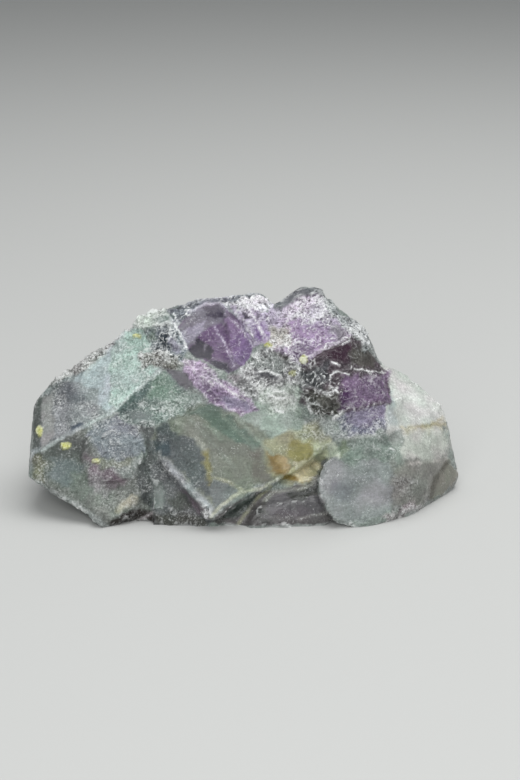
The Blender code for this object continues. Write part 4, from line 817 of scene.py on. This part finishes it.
def raw_fluorite():
    """Raw fluorite, cleaved by hand: a see-through crystal made milky by its cracks, glossy on
    the flat faces, dull and white with crushed grain where it was knocked or crumbled. Its white
    specks are partly painted glints, its white edges partly a painted highlight, and the hollows of
    its crust hold painted shade."""
    material = bpy.data.materials.new("raw_fluorite_cleaved")
    material.use_nodes = True
    tree = material.node_tree
    tree.nodes.clear()
    stone = node(tree, "ShaderNodeTexCoord").outputs["Object"]
    painted = {}
    for name in ("tone", "frost", "scuff", "seam", "edge"):
        read = node(tree, "ShaderNodeAttribute", attribute_name=name)
        painted[name] = read.outputs["Color" if name == "tone" else "Fac"]

    # clouds of clearer and milkier crystal, some millimetres across
    clouds = node(
        tree, "ShaderNodeTexNoise",
        {"Vector": stone, "Scale": 1.0 / (CLOUD_MM * MM), "Detail": 5.0, "Roughness": 0.65},
    )
    cloud_shades = (1.0 - CLOUD_DEPTH, 1.0 + CLOUD_DEPTH)
    cloudy = node(tree, "ShaderNodeMapRange", (clouds, *NOISE_SPAN, *cloud_shades))

    # traces of the cleavage, which run down to the right across the front
    fineness = tuple(1.0 / (size * MM) for size in TRACE_MM)
    drawn_out = node(
        tree, "ShaderNodeMapping", {"Vector": stone, "Rotation": TRACE_TURN, "Scale": fineness}
    )
    traces = node(
        tree, "ShaderNodeTexNoise",
        {"Vector": drawn_out, "Scale": 1.0, "Detail": 3.0, "Roughness": 0.6},
    )
    trace_shades = (1.0 - TRACE_DEPTH, 1.0 + TRACE_DEPTH)
    traced = node(tree, "ShaderNodeMapRange", (traces, *NOISE_SPAN, *trace_shades))

    # small cleavage faces, each leaning its own way and a little lighter or darker
    facets = node(tree, "ShaderNodeTexVoronoi", {"Vector": stone, "Scale": 1.0 / (FACET_MM * MM)})
    lean, height = leaning_faces(tree, stone, facets)
    facet = node(tree, "ShaderNodeMath", (height, 1.0 / (FACET_MM * MM)), operation="MULTIPLY")
    own_shade = node(tree, "ShaderNodeSeparateXYZ", (lean,))
    lit = node(tree, "ShaderNodeMath", (painted["frost"], FACET_DEPTH), operation="MULTIPLY")
    faceted = node(tree, "ShaderNodeMath", (own_shade, lit, 1.0), operation="MULTIPLY_ADD")
    cloudy = node(tree, "ShaderNodeMath", (cloudy, faceted), operation="MULTIPLY")

    # fine grain, at the size of the crushed crystals, with dark pits between pale specks
    grain = node(
        tree, "ShaderNodeTexNoise",
        {"Vector": stone, "Scale": 1.0 / (SUGAR_MM * MM), "Detail": 3.0, "Roughness": 0.85},
    )
    grain_way = node(tree, "ShaderNodeMath", (grain, 0.5), operation="SUBTRACT")
    pit_depth = node(
        tree, "ShaderNodeMath", (painted["frost"], GRAIN_DEPTH, LEAST_GRAIN),
        operation="MULTIPLY_ADD",
    )
    pitted = node(tree, "ShaderNodeMath", (grain_way, pit_depth, 1.0), operation="MULTIPLY_ADD")
    pitted = node(tree, "ShaderNodeMath", (pitted, DARKEST_PIT), operation="MAXIMUM")
    shade = node(tree, "ShaderNodeMath", (cloudy, pitted), operation="MULTIPLY")
    shade = node(tree, "ShaderNodeMath", (shade, traced), operation="MULTIPLY")
    colour = node(
        tree, "ShaderNodeVectorMath", {0: painted["tone"], "Scale": shade}, operation="SCALE"
    )

    # sugary specks of crushed crystal, which also stand in as painted glints, thickest where the stone
    # is frosted
    patchy = node(
        tree, "ShaderNodeTexNoise",
        {"Vector": stone, "Scale": 1.0 / (PATCHY_MM * MM), "Detail": 4.0, "Roughness": 0.65},
    )
    sugar_and_glint_level = node(
        tree, "ShaderNodeMath", (patchy, SUGAR_AND_GLINTS_FROM_PATCHES, grain), operation="MULTIPLY_ADD"
    )
    sugar_and_glint_level = node(
        tree, "ShaderNodeMath", (painted["frost"], SUGAR_AND_GLINTS_FROM_FROST, sugar_and_glint_level),
        operation="MULTIPLY_ADD",
    )
    sugar_and_glints = node(tree, "ShaderNodeMapRange", (sugar_and_glint_level, *SUGAR_AND_GLINT_RAMP))
    thick = node(
        tree, "ShaderNodeMath", (painted["frost"], FROST_SUGAR_AND_GLINTS, THIN_SUGAR_AND_GLINTS),
        operation="MULTIPLY_ADD", use_clamp=True,
    )
    sugar_and_glints = node(tree, "ShaderNodeMath", (sugar_and_glints, thick), operation="MULTIPLY")

    # crust, crinkled like torn foil, where the stone was struck or rubbed
    crinkles = node(
        tree, "ShaderNodeTexNoise", {"Vector": stone, "Detail": 4.0, **CRINKLES},
        noise_type="RIDGED_MULTIFRACTAL", normalize=True,
    )
    crust = node(tree, "ShaderNodeMapRange", (crinkles, *CRUST_RAMP))
    somewhere = node(tree, "ShaderNodeMapRange", (patchy, *CRUST_PATCHES))
    crust = node(tree, "ShaderNodeMath", (crust, somewhere), operation="MULTIPLY")
    scuffed = node(
        tree, "ShaderNodeMath", (crust, painted["scuff"]), operation="MULTIPLY", use_clamp=True
    )
    # painted shade in the hollows between the crinkles
    crinkle_shade = node(tree, "ShaderNodeMapRange", (crinkles, *CRINKLE_SHADE_RAMP))
    crinkle_shade = node(tree, "ShaderNodeMath", (crinkle_shade, painted["scuff"]), operation="MULTIPLY")
    unshaded = node(tree, "ShaderNodeMath", (1.0, crinkle_shade), operation="SUBTRACT")
    colour = node(tree, "ShaderNodeVectorMath", {0: colour, "Scale": unshaded}, operation="SCALE")

    # seams: crushed edges of sheets, crisp and crumbly
    crumbly = node(
        tree, "ShaderNodeMath", (grain_way, SEAM_CRUMBLE, painted["seam"]),
        operation="MULTIPLY_ADD",
    )
    seam = node(tree, "ShaderNodeMapRange", (crumbly, *SEAM_RAMP))
    # frost along the knocked edges, which is also a painted highlight on them
    knocked_and_highlit = node(tree, "ShaderNodeMapRange", (painted["edge"], *KNOCKED_EDGE_AND_HIGHLIGHT_RAMP))
    broken_up = node(tree, "ShaderNodeMapRange", (patchy, *KNOCKED_EDGE_AND_HIGHLIGHT_PATCHES))
    rim = node(tree, "ShaderNodeMath", (knocked_and_highlit, broken_up), operation="MULTIPLY")
    white = node(tree, "ShaderNodeMath", (sugar_and_glints, scuffed), operation="MAXIMUM")
    white = node(tree, "ShaderNodeMath", (white, rim), operation="MAXIMUM")
    white = node(tree, "ShaderNodeMath", (white, seam), operation="MAXIMUM")
    # a mix takes its share on socket 0, and its two colours on sockets 6 and 7
    colour = node(
        tree, "ShaderNodeMix", {0: white, 6: colour, 7: linear(WHITE_GRAIN_AND_HIGHLIGHT_COLOUR)}, data_type="RGBA"
    )

    # the duller, the rougher and the milkier
    dull = node(tree, "ShaderNodeMath", (painted["frost"], white), operation="MAXIMUM")
    roughness = node(tree, "ShaderNodeMapRange", (dull, *ROUGHNESS_RAMP))
    clear = node(tree, "ShaderNodeMapRange", (dull, *CLEARNESS_RAMP))
    coarse = node(
        tree, "ShaderNodeMath", (painted["frost"], FROST_RELIEF, CLEAR_RELIEF),
        operation="MULTIPLY_ADD",
    )
    relief = node(tree, "ShaderNodeMath", (facet, FACET_HEIGHT, grain), operation="MULTIPLY_ADD")
    relief = node(tree, "ShaderNodeMath", (relief, coarse), operation="MULTIPLY")
    relief = node(tree, "ShaderNodeMath", (white, WHITE_HEIGHT, relief), operation="MULTIPLY_ADD")
    bump = node(
        tree, "ShaderNodeBump",
        {"Strength": RELIEF_STRENGTH, "Distance": RELIEF_MM * MM, "Height": relief},
    )
    surface = node(
        tree, "ShaderNodeBsdfPrincipled",
        {
            "Base Color": colour.outputs[2],
            "Roughness": roughness,
            "IOR": FLUORITE_IOR,
            "Specular IOR Level": WORN_GLOSS,
            "Transmission Weight": clear,
            "Normal": bump,
        },
    )
    depth = node(
        tree, "ShaderNodeVolumeAbsorption",
        {"Color": linear(DEPTH_COLOUR), "Density": DEPTH_DENSITY},
    )
    node(tree, "ShaderNodeOutputMaterial", {"Surface": surface, "Volume": depth})
    return material


def plain_result(piece):
    """Works a piece's modifiers into a plain mesh of its own."""
    graph = bpy.context.evaluated_depsgraph_get()
    mesh = bpy.data.meshes.new_from_object(piece.evaluated_get(graph))
    piece.modifiers.clear()
    piece.data = mesh


# The stone starts as a merged copy of the solid. Points closer than this are one point.
MERGED_MM = 0.001
chunk_shape = bmesh.new()
chunk_shape.from_mesh(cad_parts["fluorite"].data)
bmesh.ops.remove_doubles(chunk_shape, verts=chunk_shape.verts, dist=MERGED_MM * MM)
chunk_mesh = bpy.data.meshes.new("fluorite_chunk")
chunk_shape.to_mesh(chunk_mesh)
chunk_shape.free()
chunk = bpy.data.objects.new("fluorite_chunk", chunk_mesh)
bpy.context.scene.collection.objects.link(chunk)
fine_grain = chunk.modifiers.new("fine_grain", "REMESH")
fine_grain.mode = "VOXEL"
fine_grain.voxel_size = GRAIN_MM * MM
plain_result(chunk)
paint(chunk.data)
breaking = chunk.modifiers.new("broken_surface", "NODES")
breaking.node_group = breaking_tree()
for item in breaking.node_group.interface.items_tree:
    if item.name in BREAK_SIZES_MM:
        breaking[item.identifier] = BREAK_SIZES_MM[item.name] * MM
    elif item.name in BREAK_SHARES:
        breaking[item.identifier] = BREAK_SHARES[item.name]
    elif item.name == "Surface":
        breaking[item.identifier] = raw_fluorite()
plain_result(chunk)
chunk.data.name = "fluorite_chunk"
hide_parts("fluorite")
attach(chunk, "root")

# The table that the chunk lies on: a plain pale board with a matt painted face. It is only
# the stage, and no part of the stone.
FLOOR_SIZE = 6.0
FLOOR_COLOUR = "#b9bab8"
FLOOR_ROUGHNESS = 0.7
floor_mesh = bpy.data.meshes.new("floor")
floor_shape = bmesh.new()
bmesh.ops.create_grid(floor_shape, x_segments=1, y_segments=1, size=FLOOR_SIZE / 2)
floor_shape.to_mesh(floor_mesh)
floor_shape.free()
floor = bpy.data.objects.new("floor", floor_mesh)
bpy.context.scene.collection.objects.link(floor)
floor_paint = bpy.data.materials.new("matt_pale_paint")
floor_paint.use_nodes = True
painted_face = floor_paint.node_tree.nodes["Principled BSDF"]
painted_face.inputs["Base Color"].default_value = linear(FLOOR_COLOUR)
painted_face.inputs["Roughness"].default_value = FLOOR_ROUGHNESS
floor_mesh.materials.append(floor_paint)

# Soft studio light: a wide box overhead and a little behind, a weak one at the front left,
# and an even pale room.
LIT_MIDDLE = Vector((0.0, 0.0, 0.02))
ROOM_COLOUR = "#dfe2e4"
ROOM_STRENGTH = 0.36


def softbox(name, place, size, power):
    """A square soft light that faces the stone."""
    light = bpy.data.lights.new(name, "AREA")
    light.size = size
    light.energy = power
    box = bpy.data.objects.new(name, light)
    box.location = place
    aim = LIT_MIDDLE - Vector(place)
    box.rotation_euler = aim.to_track_quat("-Z", "Y").to_euler()
    bpy.context.scene.collection.objects.link(box)


softbox("overhead_box", place=(0.12, 0.06, 0.60), size=0.70, power=4.3)
softbox("front_fill", place=(-0.05, -0.60, 0.35), size=0.45, power=2.8)
room = bpy.data.worlds.new("pale_room")
room.use_nodes = True
room_light = room.node_tree.nodes["Background"]
room_light.inputs["Color"].default_value = linear(ROOM_COLOUR)
room_light.inputs["Strength"].default_value = ROOM_STRENGTH
bpy.context.scene.world = room
bpy.context.scene.view_settings.view_transform = "Standard"

# The camera: in front of the stone and a little above it, as a short telephoto lens sees it.
CAMERA_LENS = 83.7
toward = Vector((0.0, math.cos(FRONT_TILT), -math.sin(FRONT_TILT)))
camera = bpy.data.objects.new("camera", bpy.data.cameras.new("camera"))
camera.data.lens = CAMERA_LENS
camera.data.sensor_width = 36.0
camera.data.clip_start = 0.01
camera.location = Vector(FRONT_AIM_MM * MM) - toward * (FRONT_DISTANCE_MM * MM)
camera.rotation_euler = toward.to_track_quat("-Z", "Y").to_euler()
bpy.context.scene.collection.objects.link(camera)
bpy.context.scene.camera = camera
